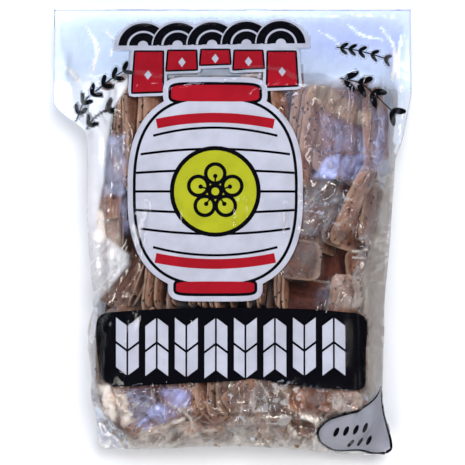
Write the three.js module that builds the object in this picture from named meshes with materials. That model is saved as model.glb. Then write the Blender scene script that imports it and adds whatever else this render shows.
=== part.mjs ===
// A clear, sealed plastic bag of folded rice crackers, lying on its back with its front up.
// Millimetres, +Z up, +Y towards the bag's top seal. The origin is under the middle of the bag,
// on the table that it lies on.
//
// The bag is one closed solid, filled out to the film: a pillow whose sides roll over to a seam
// height, a header that slopes down to the top seal between two flat ears, flat corners at the
// bottom seal, and the low relief of three tiers of crackers pressing on the film.

import * as THREE from 'three';

const { clamp, lerp, smoothstep } = THREE.MathUtils;

// ---------------------------------------------------------------- driving dimensions

const LENGTH = 374; // over both seals
const FLAT_WIDTH = 300; // the film laid flat, which the header keeps
const HEIGHT = 82; // the crown of the body over the table
const FILM_EDGE = 1.4; // the two films where they meet, thickened to stay a solid

const TOP = LENGTH / 2;
const BOTTOM = - LENGTH / 2;
const HALF_FLAT = FLAT_WIDTH / 2;

// The outline in plan, as stations [ y, x ] from the bottom seal to the top one.
const LEFT_SIDE = [
	[ BOTTOM, - 110 ], [ - 176, - 114.5 ], [ - 139, - 117 ], [ - 102, - 121 ], [ - 69, - 116 ],
	[ 0, - 121 ], [ 78, - 121.5 ], [ 103, - HALF_FLAT ], [ TOP, - HALF_FLAT ]
];
const RIGHT_SIDE = [
	[ BOTTOM, 129 ], [ - 176, 133 ], [ - 141, 125 ], [ - 62, 126.5 ], [ 0, 132 ],
	[ 58, 135.5 ], [ 78, 143 ], [ 116, HALF_FLAT ], [ TOP, HALF_FLAT ]
];

// How wide the two films lie flat on each other inside that outline, as stations [ y, width ]:
// a crease along the body, the two ears at the top and the two flat corners at the bottom.
const CREASE = 1.5;
const LEFT_FLAP = [
	[ BOTTOM, 25 ], [ - 142, CREASE ], [ 74, CREASE ], [ 103, 20 ], [ 150, 9 ], [ TOP, CREASE ]
];
const RIGHT_FLAP = [
	[ BOTTOM, 32 ], [ - 140, CREASE ], [ 56, CREASE ], [ 84, 12 ], [ 146, 15 ], [ TOP, CREASE ]
];

// The bottom edge wavers: it is pulled up in the middle and at the left corner.
const BOTTOM_EDGE = { lowestX: 118, highestX: - 4, middleRise: 9, leftCornerRise: 4.5 };
const SEAL_MARGIN = { top: 9, bottom: 5 }; // the flat band of film at each seal

// How far in from the body's edge each face takes to reach its full height.
const FRONT_ROLL = { sides: 44, bottom: 54 };
const BACK_ROLL = { sides: 34, bottom: 40 };
const ROLL_SHAPE = 2.3; // 2 rolls over as an ellipse, more is squarer
const HEADER = { front: 80, back: 68, slope: 1.5 }; // reach of each face's slope to the top seal

// The height of the seam, where front and back film meet.
const SEAM = { body: 35, topSeal: 21, bottomSeal: 22 };

// Relief on the front.
const TIER_GAPS = { ys: [ 42, - 50 ], depth: 5.5, width: 11 }; // valleys between the tiers
const TIER_LEANS = [ 0.08, - 0.34, 0.2 ]; // sideways per length, of each tier from the top one
const RIDGES = { pitch: 29, height: 1.6 }; // groups of upright crackers under the film
const CRUMPLES = { pitch: 41, height: 1.8, start: 40, full: 120 }; // of the slack lower film
const PLEATS = [ // folds in the film at the two shoulders, each from its foot to its tip
	{ foot: [ 131, 78 ], tip: [ 141, 158 ], height: 6, halfWidth: 8 },
	{ foot: [ - 119, 76 ], tip: [ - 137, 150 ], height: 4, halfWidth: 9 }
];

// Facets.
const FLAP_COLUMNS = 2; // across each flap
const BODY_COLUMNS = 36; // across the body
const ROWS = 52; // from seal to seal
const COLUMNS = BODY_COLUMNS + 2 * FLAP_COLUMNS;
const CROWDING = 0.6; // 0 spaces the body's columns evenly, 1 crowds them at its sides

// ---------------------------------------------------------------- small helpers

// Reads a list of stations at y, easing between its points.
function readStations( stations, y ) {

	const found = stations.findIndex( ( [ stationY ] ) => stationY >= y );
	const next = found < 0 ? stations.length - 1 : Math.max( 1, found );
	const [ y0, value0 ] = stations[ next - 1 ];
	const [ y1, value1 ] = stations[ next ];
	const straight = clamp( ( y - y0 ) / ( y1 - y0 ), 0, 1 );
	const eased = smoothstep( y, y0, y1 );
	return lerp( value0, value1, ( straight + eased ) / 2 );

}

// 1 at u = 0, falling away to 0 on both sides.
function bell( u ) {

	return Math.exp( - u * u / 2 );

}

// Falls straight from 1 on an edge to 0 at its reach inside the edge, and stays 0.
function nearness( distanceInside, reach ) {

	return clamp( 1 - distanceInside / reach, 0, 1 );

}

// Rises round from 0 on an edge to 1 at its reach inside the edge, and stays 1.
function rollOver( distanceInside, reach ) {

	return Math.sqrt( 1 - Math.pow( nearness( distanceInside, reach ), ROLL_SHAPE ) );

}

// ---------------------------------------------------------------- the bag in plan

function bottomEdgeAt( x ) {

	const { lowestX, highestX, middleRise, leftCornerRise } = BOTTOM_EDGE;
	const across = clamp( ( x - lowestX ) / ( highestX - lowestX ), 0, 2 );
	const waver = ( 1 - Math.cos( Math.PI * across ) ) / 2;
	return BOTTOM + middleRise * waver + leftCornerRise * smoothstep( - x, 40, 110 );

}

// The outline and, inside its flaps, the filled body, across the bag at one level.
function sidesAt( level ) {

	const left = readStations( LEFT_SIDE, level );
	const right = readStations( RIGHT_SIDE, level );
	const bodyLeft = left + readStations( LEFT_FLAP, level );
	const bodyRight = right - readStations( RIGHT_FLAP, level );
	return { left, right, bodyLeft, bodyRight };

}

// x of a column of facets: flat columns on each flap, the rest spread over the body.
function columnX( column, { left, right, bodyLeft, bodyRight } ) {

	if ( column < FLAP_COLUMNS ) {

		return lerp( left, bodyLeft, column / FLAP_COLUMNS );

	}

	if ( column > COLUMNS - FLAP_COLUMNS ) {

		return lerp( right, bodyRight, ( COLUMNS - column ) / FLAP_COLUMNS );

	}

	const evenly = ( column - FLAP_COLUMNS ) / BODY_COLUMNS;
	const crowded = ( 1 - Math.cos( Math.PI * evenly ) ) / 2;
	return lerp( bodyLeft, bodyRight, lerp( evenly, crowded, CROWDING ) );

}

// ---------------------------------------------------------------- heights

function seamHeight( y ) {

	const towardsTop = smoothstep( y, 60, TOP - SEAL_MARGIN.top );
	const towardsBottom = smoothstep( - y, 120, - BOTTOM );
	return SEAM.body + ( SEAM.topSeal - SEAM.body ) * towardsTop
		+ ( SEAM.bottomSeal - SEAM.body ) * towardsBottom;

}

// The share, 0 to 1, by which a face has left the seam for its full height.
function fullness( x, y, sides, roll, headerReach ) {

	const fromLeft = rollOver( x - sides.bodyLeft, roll.sides );
	const fromRight = rollOver( sides.bodyRight - x, roll.sides );
	const fromBottom = rollOver( y - bottomEdgeAt( x ) - SEAL_MARGIN.bottom, roll.bottom );
	const fromTop = 1 - Math.pow( nearness( TOP - SEAL_MARGIN.top - y, headerReach ), HEADER.slope );
	return fromLeft * fromRight * fromBottom * fromTop;

}

// The crackers of one tier press long ridges into the film, which lean as the crackers do.
function tierRidges( x, y ) {

	const tier = TIER_GAPS.ys.filter( ( gapY ) => y < gapY ).length;
	return RIDGES.height * Math.sin( 2 * Math.PI * ( x - TIER_LEANS[ tier ] * y ) / RIDGES.pitch );

}

function crumples( x, y ) {

	const { pitch, height, start, full } = CRUMPLES;
	const oneWay = Math.sin( 2 * Math.PI * ( x + 0.6 * y ) / pitch );
	const otherWay = Math.sin( 2 * Math.PI * ( y - 0.45 * x ) / ( 1.3 * pitch ) );
	return height * smoothstep( - y, start, full ) * oneWay * otherWay;

}

function frontRelief( x, y ) {

	const gap = TIER_GAPS.ys.reduce( ( sum, gapY ) => sum + bell( ( y - gapY ) / TIER_GAPS.width ), 0 );
	return tierRidges( x, y ) * ( 1 - gap ) + crumples( x, y ) - TIER_GAPS.depth * gap;

}

// A raised pleat of film along a straight line, highest at its foot.
function pleatHeight( x, y, { foot, tip, height, halfWidth } ) {

	const line = new THREE.Line3( new THREE.Vector3( ...foot, 0 ), new THREE.Vector3( ...tip, 0 ) );
	const point = new THREE.Vector3( x, y, 0 );
	const along = line.closestPointToPointParameter( point, true );
	const distance = line.at( along, new THREE.Vector3() ).distanceTo( point );
	return height * ( 1 - 0.6 * along ) * nearness( distance, halfWidth );

}

function frontHeight( x, y, sides ) {

	const full = fullness( x, y, sides, FRONT_ROLL, HEADER.front );
	const seam = seamHeight( y );
	const crown = HEIGHT - FILM_EDGE - RIDGES.height - CRUMPLES.height;
	const pleats = PLEATS.reduce( ( sum, pleat ) => sum + pleatHeight( x, y, pleat ), 0 );
	return lerp( seam, crown, full ) + frontRelief( x, y ) * full * full
		+ pleats * ( 1 - full ) + FILM_EDGE;

}

function backHeight( x, y, sides ) {

	return seamHeight( y ) * ( 1 - fullness( x, y, sides, BACK_ROLL, HEADER.back ) );

}

// ---------------------------------------------------------------- the solid

// A box's grid of vertices is moved onto the bag: its +Z face becomes the front, its -Z face
// the back, and its four sides the thin edge where the two films meet.
function bagGeometry() {

	const geometry = new THREE.BoxGeometry( COLUMNS, ROWS, 1, COLUMNS, ROWS, 1 );
	const position = geometry.getAttribute( 'position' );
	const corner = new THREE.Vector3();

	for ( let i = 0; i < position.count; i ++ ) {

		corner.fromBufferAttribute( position, i );
		const along = corner.y / ROWS + 0.5;
		const sides = sidesAt( lerp( BOTTOM, TOP, along ) );
		const x = columnX( Math.round( corner.x + COLUMNS / 2 ), sides );
		const y = lerp( bottomEdgeAt( x ), TOP, along );
		const z = corner.z > 0 ? frontHeight( x, y, sides ) : backHeight( x, y, sides );
		position.setXYZ( i, x, y, z );

	}

	geometry.deleteAttribute( 'uv' );
	geometry.computeVertexNormals();
	return geometry;

}

const film = new THREE.MeshStandardMaterial( {
	name: 'clear_film',
	color: 0xb9a59b,
	roughness: 0.2,
	metalness: 0
} );

const bag = new THREE.Mesh( bagGeometry(), film );
bag.name = 'cracker_bag';

const crackerBag = new THREE.Group();
crackerBag.name = 'rice_cracker_bag';
crackerBag.add( bag );

export default crackerBag;
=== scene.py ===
import math

import bpy
import numpy as np
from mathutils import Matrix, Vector, geometry
from mathutils.bvhtree import BVHTree


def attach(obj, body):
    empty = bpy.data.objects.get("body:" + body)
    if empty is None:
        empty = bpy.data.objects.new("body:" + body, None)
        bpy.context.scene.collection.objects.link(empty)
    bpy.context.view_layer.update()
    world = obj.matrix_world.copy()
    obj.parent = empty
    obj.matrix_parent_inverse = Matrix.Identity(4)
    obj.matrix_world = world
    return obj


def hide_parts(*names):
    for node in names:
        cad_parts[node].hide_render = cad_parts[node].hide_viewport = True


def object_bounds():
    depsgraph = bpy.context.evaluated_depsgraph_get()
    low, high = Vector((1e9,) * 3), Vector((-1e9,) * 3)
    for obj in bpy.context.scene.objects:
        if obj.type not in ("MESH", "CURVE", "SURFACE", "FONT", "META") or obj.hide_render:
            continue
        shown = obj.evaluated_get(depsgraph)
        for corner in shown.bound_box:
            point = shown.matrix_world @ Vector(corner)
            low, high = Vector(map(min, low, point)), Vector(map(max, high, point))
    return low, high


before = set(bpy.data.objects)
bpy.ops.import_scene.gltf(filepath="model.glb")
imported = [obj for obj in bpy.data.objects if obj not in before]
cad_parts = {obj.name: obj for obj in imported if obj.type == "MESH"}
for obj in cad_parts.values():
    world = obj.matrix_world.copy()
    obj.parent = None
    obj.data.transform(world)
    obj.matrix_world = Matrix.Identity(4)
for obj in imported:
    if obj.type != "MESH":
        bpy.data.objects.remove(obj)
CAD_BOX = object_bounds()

# A clear, sealed, printed bag of folded rice crackers, lying on its back. The bag's outline and
# heights are read from the CAD solid; inside it go the film, the crackers and the print.
# Lengths are in millimetres until MM turns them into metres, where a mesh is made. The lamps, the
# camera and the materials are in metres.

MM = 0.001
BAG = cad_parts["cracker_bag"]
LEFT_X, BOTTOM_Y = CAD_BOX[0][0] / MM, CAD_BOX[0][1] / MM
RIGHT_X, TOP_Y = CAD_BOX[1][0] / MM, CAD_BOX[1][1] / MM

SEED = 11  # of the crackers' random draws; the sesame seeds and the crumbs use the next two

# ------------------------------------------------------------------ numbers and noise


def ease(low, high, value):
    """0 below low, 1 above high, and smooth between; high may be the smaller one."""
    share = np.clip((np.asarray(value, float) - low) / (high - low), 0, 1)
    return share * share * (3 - 2 * share)


def lerp(a, b, share):
    """The value at a share of the way from a to b."""
    return a + (b - a) * share


def extended(points):
    """Points along the first axis with one more past each end, straight on."""
    return np.concatenate([2 * points[:1] - points[1:2], points, 2 * points[-1:] - points[-2:-1]])


def catmull_rom(p0, p1, p2, p3, u):
    """The point at share u of the way from p1 to p2, on a smooth curve through all four."""
    bend = 2 * p0 - 5 * p1 + 4 * p2 - p3
    twist = 3 * p1 - p0 - 3 * p2 + p3
    return (2 * p1 + (p2 - p0) * u + bend * u**2 + twist * u**3) / 2


LATTICE = 256  # random values along each side of the noise's lattice, which then repeats
LATTICE_ORIGIN = 60.5  # where x = 0 and y = 0 lie on it


def smooth_noise(x, y, size, seed):
    """Soft random hills between -1 and 1, about size across; each seed gives other hills."""
    lattice = np.random.default_rng(seed).uniform(-1, 1, (LATTICE, LATTICE))
    u, v = (np.asarray(place, float) / size + LATTICE_ORIGIN for place in (x, y))
    column, row = np.floor(u).astype(int), np.floor(v).astype(int)
    across, along = ease(0, 1, u - column), ease(0, 1, v - row)

    def corner(i, j):
        return lattice[(row + j) % LATTICE, (column + i) % LATTICE]

    near = lerp(corner(0, 0), corner(1, 0), across)
    far = lerp(corner(0, 1), corner(1, 1), across)
    return lerp(near, far, along)


# ------------------------------------------------------------------ meshes


def new_object(name, points, faces, smooth=True):
    """A mesh object from points in metres and faces as lists of indices."""
    mesh = bpy.data.meshes.new(name)
    mesh.from_pydata(np.asarray(points, float).tolist(), [], [list(map(int, f)) for f in faces])
    mesh.validate()
    if smooth:
        mesh.shade_smooth()
    else:
        mesh.shade_flat()
    made = bpy.data.objects.new(name, mesh)
    bpy.context.scene.collection.objects.link(made)
    return made


def grid_quads(index):
    """The faces between the rows and columns of a grid of point indices."""
    corners = (index[:-1, :-1], index[:-1, 1:], index[1:, 1:], index[1:, :-1])
    return np.stack(corners, -1).reshape(-1, 4)


def coordinates(mesh):
    """The points of a mesh, in metres."""
    found = np.empty(len(mesh.vertices) * 3)
    mesh.vertices.foreach_get("co", found)
    return found.reshape(-1, 3)


def write_attribute(made, name, values):
    """One number or one vector for each vertex, which a material reads by its name."""
    values = np.asarray(values, np.float32)
    kind, field = ("FLOAT", "value") if values.ndim == 1 else ("FLOAT_VECTOR", "vector")
    made.data.attributes.new(name, kind, "POINT").data.foreach_set(field, values.ravel())


def height_reader(made, from_above=True):
    """Returns a function that gives the height of a mesh at each x, y in mm, or nan."""
    tree = BVHTree.FromObject(made, bpy.context.evaluated_depsgraph_get())
    start, down = (1.0, -1.0) if from_above else (-1.0, 1.0)

    def read(xs, ys):
        heights = []
        for x, y in zip(np.ravel(xs) * MM, np.ravel(ys) * MM):
            hit = tree.ray_cast(Vector((x, y, start)), Vector((0, 0, down)))[0]
            heights.append(np.nan if hit is None else hit.z / MM)
        return np.array(heights).reshape(np.shape(xs))

    return read


class Room:
    """The heights between which a closed object is filled, read once on a raster."""

    STEP = 1.5
    OUTSIDE = 30  # stands for both heights where the object isn't

    def __init__(self, made):
        self.xs = np.arange(LEFT_X, RIGHT_X + self.STEP, self.STEP)
        self.ys = np.arange(BOTTOM_Y, TOP_Y + self.STEP, self.STEP)
        x, y = np.meshgrid(self.xs, self.ys)
        self.tops = height_reader(made)(x, y)
        self.bottoms = height_reader(made, from_above=False)(x, y)
        missed = np.isnan(self.tops) | np.isnan(self.bottoms)
        self.tops[missed] = self.bottoms[missed] = self.OUTSIDE
        self.opened = np.where(missed, 0.0, 1.0)

    def read(self, raster, x, y):
        """A raster's value at each point, between its four nearest ones."""
        u = np.clip((x - self.xs[0]) / self.STEP, 0, len(self.xs) - 1.001)
        v = np.clip((y - self.ys[0]) / self.STEP, 0, len(self.ys) - 1.001)
        i, j = u.astype(int), v.astype(int)
        near = lerp(raster[j, i], raster[j, i + 1], u - i)
        far = lerp(raster[j + 1, i], raster[j + 1, i + 1], u - i)
        return lerp(near, far, v - j)

    def top(self, x, y):
        return self.read(self.tops, x, y)

    def bottom(self, x, y):
        return self.read(self.bottoms, x, y)

    def is_open(self, x, y):
        """Whether the object was found all round a point."""
        return self.read(self.opened, x, y) > 0.999


# ------------------------------------------------------------------ the film's grid

# The film is one grid of points on the front and one on the back, which share their rim.
# ACROSS and ALONG count the coarse cells that the cloth is simulated on, of about 5 mm; each is
# then split into FINER by FINER.
ACROSS = 58
ALONG = 72
FINER = 3
RIM_GAP = 0.35  # mm, between the two films where they lie flat on each other
FLOOR_GAP = 0.25  # mm, of the film over the table
FRONT_INSET = 0.7  # mm, of the front film below the CAD solid's front
BACK_INSET = 0.3  # mm, of the back film above the solid's back
EDGE_INSET = 0.3  # mm in from the solid's outline, where its heights can be read
EDGE_HEIGHT = 22  # mm, of the points where they still can't


class Outline:
    """The CAD solid's outline in plan, in mm."""

    BOTTOM_RISE = 14  # the wavering bottom edge rises by less, so the sides start above it
    CORNER = 1  # how far inside the two low corners the bottom edge is read

    def __init__(self, node):
        points = coordinates(node.data) / MM
        edges = np.array([e.vertices[:] for e in node.data.edges])
        self.starts, self.ends = points[edges[:, 0]], points[edges[:, 1]]
        levels = np.linspace(BOTTOM_Y + self.BOTTOM_RISE, TOP_Y - 0.05, 400)
        sides = np.array([self.span(1, level) for level in levels])
        self.levels, self.lefts, self.rights = levels, sides[:, 0], sides[:, 1]
        low_left, low_right = self.side_x(BOTTOM_Y)
        self.columns = np.linspace(low_left + self.CORNER, low_right - self.CORNER, 200)
        self.bottoms = np.array([self.span(0, x)[0] for x in self.columns])

    def span(self, axis, level):
        """The least and greatest of the other coordinate where the solid crosses a level."""
        start, end = self.starts[:, axis], self.ends[:, axis]
        crossing = (start - level) * (end - level) < 0
        share = (level - start[crossing]) / (end[crossing] - start[crossing])
        other = 1 - axis
        values = lerp(self.starts[crossing, other], self.ends[crossing, other], share)
        return values.min(), values.max()

    def side_x(self, level):
        """x of the left and the right side at a level."""
        return np.interp(level, self.levels, self.lefts), np.interp(level, self.levels, self.rights)

    def place(self, across, along):
        """x and y of the film at shares 0 to 1 across it and along it from the bottom seal."""
        left, right = self.side_x(lerp(BOTTOM_Y, TOP_Y, along))
        x = lerp(left, right, across)
        bottom = np.interp(x, self.columns, self.bottoms)
        return x, lerp(bottom, TOP_Y, along)


def film_grids(outline):
    """The front's and the back's coarse grids, as arrays of rows, columns and x, y, z in mm."""
    along, across = np.meshgrid(
        np.linspace(0, 1, ALONG + 1), np.linspace(0, 1, ACROSS + 1), indexing="ij"
    )
    x, y = outline.place(across, along)
    lefts, rights = x.min(axis=1, keepdims=True), x.max(axis=1, keepdims=True)
    inset_x = np.clip(x, lefts + EDGE_INSET, rights - EDGE_INSET)
    inset_y = np.clip(y, y[0] + EDGE_INSET, TOP_Y - EDGE_INSET)
    above = height_reader(BAG)(inset_x, inset_y)
    below = height_reader(BAG, from_above=False)(inset_x, inset_y)
    missed = np.isnan(above) | np.isnan(below)
    above[missed] = below[missed] = EDGE_HEIGHT
    middle = (above + below) / 2
    above = np.maximum(above - FRONT_INSET, middle + RIM_GAP / 2)
    below = np.minimum(np.maximum(below + BACK_INSET, FLOOR_GAP), middle - RIM_GAP / 2)
    for edge in (np.s_[0, :], np.s_[-1, :], np.s_[:, 0], np.s_[:, -1]):
        above[edge] = below[edge] = middle[edge]
    return np.stack([x, y, above], -1), np.stack([x, y, below], -1)


def grid_faces(rows, columns):
    """The faces of a front grid and, after its points, a back grid that shares its rim."""
    front = np.arange(rows * columns).reshape(rows, columns)
    back = front.copy()
    inner = (rows - 2) * (columns - 2)
    back[1:-1, 1:-1] = rows * columns + np.arange(inner).reshape(rows - 2, columns - 2)
    return np.concatenate([grid_quads(front), grid_quads(back)[:, ::-1]])


def film_object(name, front, back):
    """One closed mesh of a front grid and a back grid, in mm."""
    rows, columns = front.shape[:2]
    points = np.concatenate([front.reshape(-1, 3), back[1:-1, 1:-1].reshape(-1, 3)])
    return new_object(name, points * MM, grid_faces(rows, columns))


def grids_of(made, rows, columns):
    """Reads a film object's two grids back, in mm."""
    points = coordinates(made.data) / MM
    front = points[: rows * columns].reshape(rows, columns, 3)
    back = front.copy()
    back[1:-1, 1:-1] = points[rows * columns :].reshape(rows - 2, columns - 2, 3)
    return front, back


def refined(grid, times):
    """Splits a grid's cells times by times, along smooth curves through its points."""
    for axis in (0, 1):
        grid = np.moveaxis(grid, axis, 0)
        p = extended(grid)
        shares = [step / times for step in range(times)]
        pieces = [catmull_rom(p[:-3], p[1:-2], p[2:-1], p[3:], share) for share in shares]
        split = np.stack(pieces, 1).reshape(-1, *grid.shape[1:])
        grid = np.moveaxis(np.concatenate([split, grid[-1:]]), 0, axis)
    return grid


# ------------------------------------------------------------------ the film as cloth

CLOTH_FRAMES = 36
CLOTH_GAP = 0.0008  # metres, that the film keeps to the blanket
BLANKET_HALF = (150, 186)  # mm, half the blanket's width and length
BLANKET_STEP = 2.0  # mm, between the heights read for it
BLANKET_SPAN = 2  # of these to each of its cells, which takes the highest
BLANKET_LOWEST = 4  # mm, where there is no cracker
BLANKET_INSET = 2.2  # mm, of the blanket below the CAD solid's front at least


def contents_blanket(tiles, room):
    """A sheet over the crackers' upper edges, for the film to lie on while it is simulated."""
    step, span = BLANKET_STEP, BLANKET_SPAN
    x, y = np.meshgrid(*(np.arange(-half, half, step) for half in BLANKET_HALF))
    heights = height_reader(tiles)(x, y)
    heights[np.isnan(heights)] = BLANKET_LOWEST
    rows, columns = (n // span for n in heights.shape)
    blocks = heights[: rows * span, : columns * span].reshape(rows, span, columns, span)
    x = x[: rows * span : span, : columns * span : span] + step / 2
    y = y[: rows * span : span, : columns * span : span] + step / 2
    highest = np.minimum(blocks.max(axis=(1, 3)), room.top(x, y) - BLANKET_INSET)
    points = np.stack([x, y, highest], -1).reshape(-1, 3)
    faces = grid_quads(np.arange(rows * columns).reshape(rows, columns))
    blanket = new_object("blanket", points * MM, faces)
    blanket.modifiers.new("collision", "COLLISION")
    blanket.collision.thickness_outer = CLOTH_GAP
    blanket.collision.cloth_friction = 4
    return blanket


def add_group(made, name, weights):
    """Adds a vertex group with one weight for each point, and returns its name."""
    group = made.vertex_groups.new(name=name)
    for index in np.nonzero(weights > 0)[0]:
        group.add([int(index)], float(weights[index]), "REPLACE")
    return name


def simulate_film(front, back, tiles, room):
    """Lets slack film settle on the crackers, held at its rim and underneath."""
    rows, columns = front.shape[:2]
    film = film_object("film_cloth", front, back)
    x, y = (coordinates(film.data) / MM).T[:2]
    on_back = np.arange(len(x)) >= rows * columns
    rim = np.zeros((rows, columns), bool)
    rim[[0, -1], :] = rim[:, [0, -1]] = True
    held = np.zeros(len(x))
    held[: rows * columns] = rim.ravel()
    held[on_back] = 1
    slack = np.where(on_back, 0, slackness(x, y))
    blanket = contents_blanket(tiles, room)
    cloth = film.modifiers.new("cloth", "CLOTH")
    settings = cloth.settings
    settings.quality = 5
    settings.mass = 0.12
    settings.tension_stiffness = settings.compression_stiffness = 30
    settings.shear_stiffness = 20
    settings.bending_stiffness = 0.12
    settings.vertex_group_mass = add_group(film, "held", held)
    settings.vertex_group_shrink = add_group(film, "slack", slack)
    settings.shrink_min = -0.004
    settings.shrink_max = -0.045
    settings.use_pressure = True
    settings.uniform_pressure_force = 0.6
    cloth.collision_settings.distance_min = CLOTH_GAP
    cloth.collision_settings.collision_quality = 2
    cloth.point_cache.frame_start = 1
    cloth.point_cache.frame_end = CLOTH_FRAMES
    for frame_number in range(1, CLOTH_FRAMES + 1):
        bpy.context.scene.frame_set(frame_number)
    settled = film.evaluated_get(bpy.context.evaluated_depsgraph_get())
    film.data = bpy.data.meshes.new_from_object(settled)
    film.modifiers.clear()
    grids = grids_of(film, rows, columns)
    for made in (film, blanket):
        bpy.data.objects.remove(made)
    bpy.context.scene.frame_set(1)
    return grids


# ------------------------------------------------------------------ crumpled film


LEAST_SLACK = 0.07
PRINT_SLACK = 0.15  # what the ink leaves of it


def slackness(x, y):
    """How crumpled the front film is, 0 to 1, from the taut print to the slack bottom.

    Each slack zone has a strength and eases in over a range of x, of y or of both.
    """
    bottom = ease(-112, -140, y + 6 * smooth_noise(x, y, 30, seed=3))
    right = 0.75 * ease(66, 92, x) * ease(-135, -95, y) * ease(64, 30, y)
    lower_right = 0.55 * ease(108, 122, x) * ease(-20, -60, y)
    left = 0.45 * ease(-92, -106, x) * ease(70, 40, y)
    header = 0.16 * ease(118, 140, y)
    slack = np.maximum.reduce([bottom, right, lower_right, left, header]) + LEAST_SLACK
    return np.clip(slack, 0, 1)


class Facets:
    """Flat random facets with sharp creases between them, as crumpled film has."""

    HALF_WIDTH, HALF_LENGTH = 190, 230  # of the area that they cover, in mm

    def __init__(self, spacing, seed):
        draw = np.random.default_rng(seed)
        columns = np.arange(-self.HALF_WIDTH, self.HALF_WIDTH, spacing)
        rows = np.arange(-self.HALF_LENGTH, self.HALF_LENGTH, spacing)
        x, y = np.meshgrid(columns, rows)
        x = x + draw.uniform(-0.5, 0.5, x.shape) * spacing
        y = y + draw.uniform(-0.5, 0.5, y.shape) * spacing
        scattered = [Vector(place) for place in zip(x.ravel(), y.ravel())]
        corners, _, triangles, *_ = geometry.delaunay_2d_cdt(scattered, [], [], 0, 1e-6)
        heights = draw.uniform(-1, 1, len(corners))
        points = [(*corner, height) for corner, height in zip(corners, heights)]
        self.tree = BVHTree.FromPolygons(points, triangles)
        self.middles = np.array([tuple(c) for c in corners])[np.array(triangles)].mean(axis=1)
        self.shares = draw.uniform(0, 1, len(triangles))

    def cast(self, x, y):
        """What a ray from above hits at each point."""
        down = Vector((0, 0, -1))
        return [self.tree.ray_cast(Vector((a, b, 9)), down) for a, b in zip(x.ravel(), y.ravel())]

    def heights(self, x, y):
        return np.array([hit[0].z for hit in self.cast(x, y)]).reshape(x.shape)

    def cells(self, x, y):
        """The middle x and y and a random share of the facet at each point."""
        index = np.array([hit[2] for hit in self.cast(x, y)])
        middles = self.middles[index].reshape(*x.shape, 2)
        return middles[..., 0], middles[..., 1], self.shares[index].reshape(x.shape)


def grid_normals(grid):
    """The upward normals of a grid's surface."""
    along, across = np.gradient(grid, axis=(0, 1))
    normals = np.cross(across, along)
    return normals / np.maximum(np.linalg.norm(normals, axis=-1, keepdims=True), 1e-9)


def crumple(grid, heights_mm):
    """Moves a grid's points along its normals, fading out in the last cells before its rim."""
    rows, columns = grid.shape[:2]
    row, column = np.indices((rows, columns))
    inside = np.minimum.reduce([row, column, rows - 1 - row, columns - 1 - column])
    fade = np.clip(inside / 3, 0, 1)
    return grid + grid_normals(grid) * (heights_mm * fade)[..., None]


def spread(values, reach):
    """Blurs a grid of numbers with a bell of a given reach in cells, along both its axes."""
    offsets = np.arange(-3 * reach, 3 * reach + 1)
    weights = np.exp(-0.5 * (offsets / reach) ** 2)
    weights /= weights.sum()
    for axis in (0, 1):
        padding = [(3 * reach, 3 * reach) if axis == i else (0, 0) for i in (0, 1)]
        padded = np.pad(values, padding, mode="edge")
        size = values.shape[axis]
        parts = [np.take(padded, range(k, k + size), axis) * w for k, w in enumerate(weights)]
        values = np.sum(parts, axis=0)
    return values


TAUT_REACH = 8  # cells, over which the printed film evens out
TAUTNESS = 0.92  # by how much it does
SWELL_REACH = 4  # cells, round a cracker that would come through the film
SWELL_GAP = 0.9  # mm, that the film then keeps over it


def tautened(grid):
    """Evens the printed film out, which is stiffer than the clear film around it."""
    x, y, z = np.moveaxis(grid, -1, 0)
    even = lerp(z, spread(z, TAUT_REACH), TAUTNESS * stiffness(x, y))
    return np.stack([x, y, even], -1)


def lifted(grid, over):
    """Raises a front film in smooth swells wherever crackers would come through it."""
    x, y, z = np.moveaxis(grid, -1, 0)
    under = over(x, y)
    under[np.isnan(under)] = 0
    steps = range(-SWELL_REACH, SWELL_REACH + 1)
    for axis in (0, 1):
        under = np.maximum.reduce([np.roll(under, step, axis) for step in steps])
    return np.stack([x, y, np.maximum(z, spread(under, 2) + SWELL_GAP)], -1)


# Fans of long sharp wrinkles: middle x and y, reach along x and y, direction in degrees from
# the x axis, spacing and height. The fine folds in the film's material run along them too.
WRINKLES = (
    (88, 84, 24, 26, 78, 8, 0.9),
    (62, 16, 24, 24, 42, 7, 0.9),
    (112, 18, 18, 30, 64, 8, 0.8),
    (104, -18, 12, 8, 18, 5, 1.0),
    (96, -42, 22, 16, 84, 7, 0.9),
    (-98, -142, 12, 16, 118, 6, 1.2),
    (-66, -146, 20, 16, 48, 8, 1.2),
    (-30, -164, 26, 12, 24, 7, 1.1),
    (0, -140, 26, 12, 80, 8, 1.1),
    (24, -164, 26, 12, 140, 8, 1.2),
    (58, -150, 20, 14, 112, 7, 1.2),
    (-98, 60, 12, 40, 86, 7, 0.7),
    (-96, -32, 16, 30, 56, 8, 0.9),
    (-108, -110, 14, 40, 84, 9, 0.8),
    (112, -90, 16, 46, 88, 8, 0.8),
    (-20, 158, 110, 20, 80, 13, 0.5),
)


def wrinkles(x, y):
    """Heights of the long wrinkles, in mm."""
    heights = np.zeros(x.shape)
    for index, (at_x, at_y, reach_x, reach_y, direction, spacing, height) in enumerate(WRINKLES):
        c, s = math.cos(math.radians(direction)), math.sin(math.radians(direction))
        along, across = x * c + y * s, y * c - x * s
        ridges = 1 - 2.4 * abs(smooth_noise(across * 6, along, spacing * 6, seed=70 + index))
        nearby = np.exp(-0.5 * (((x - at_x) / reach_x) ** 2 + ((y - at_y) / reach_y) ** 2))
        heights += height * nearby * ridges
    return heights


FOLD_FACETS = 20  # mm, the size of the facets on which fine folds run one way
FOLD_TURN = 50  # degrees, between the ways they can run on neighbouring facets
FOLD_STRETCH = 0.13  # how much slower their pattern changes along them than across


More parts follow.
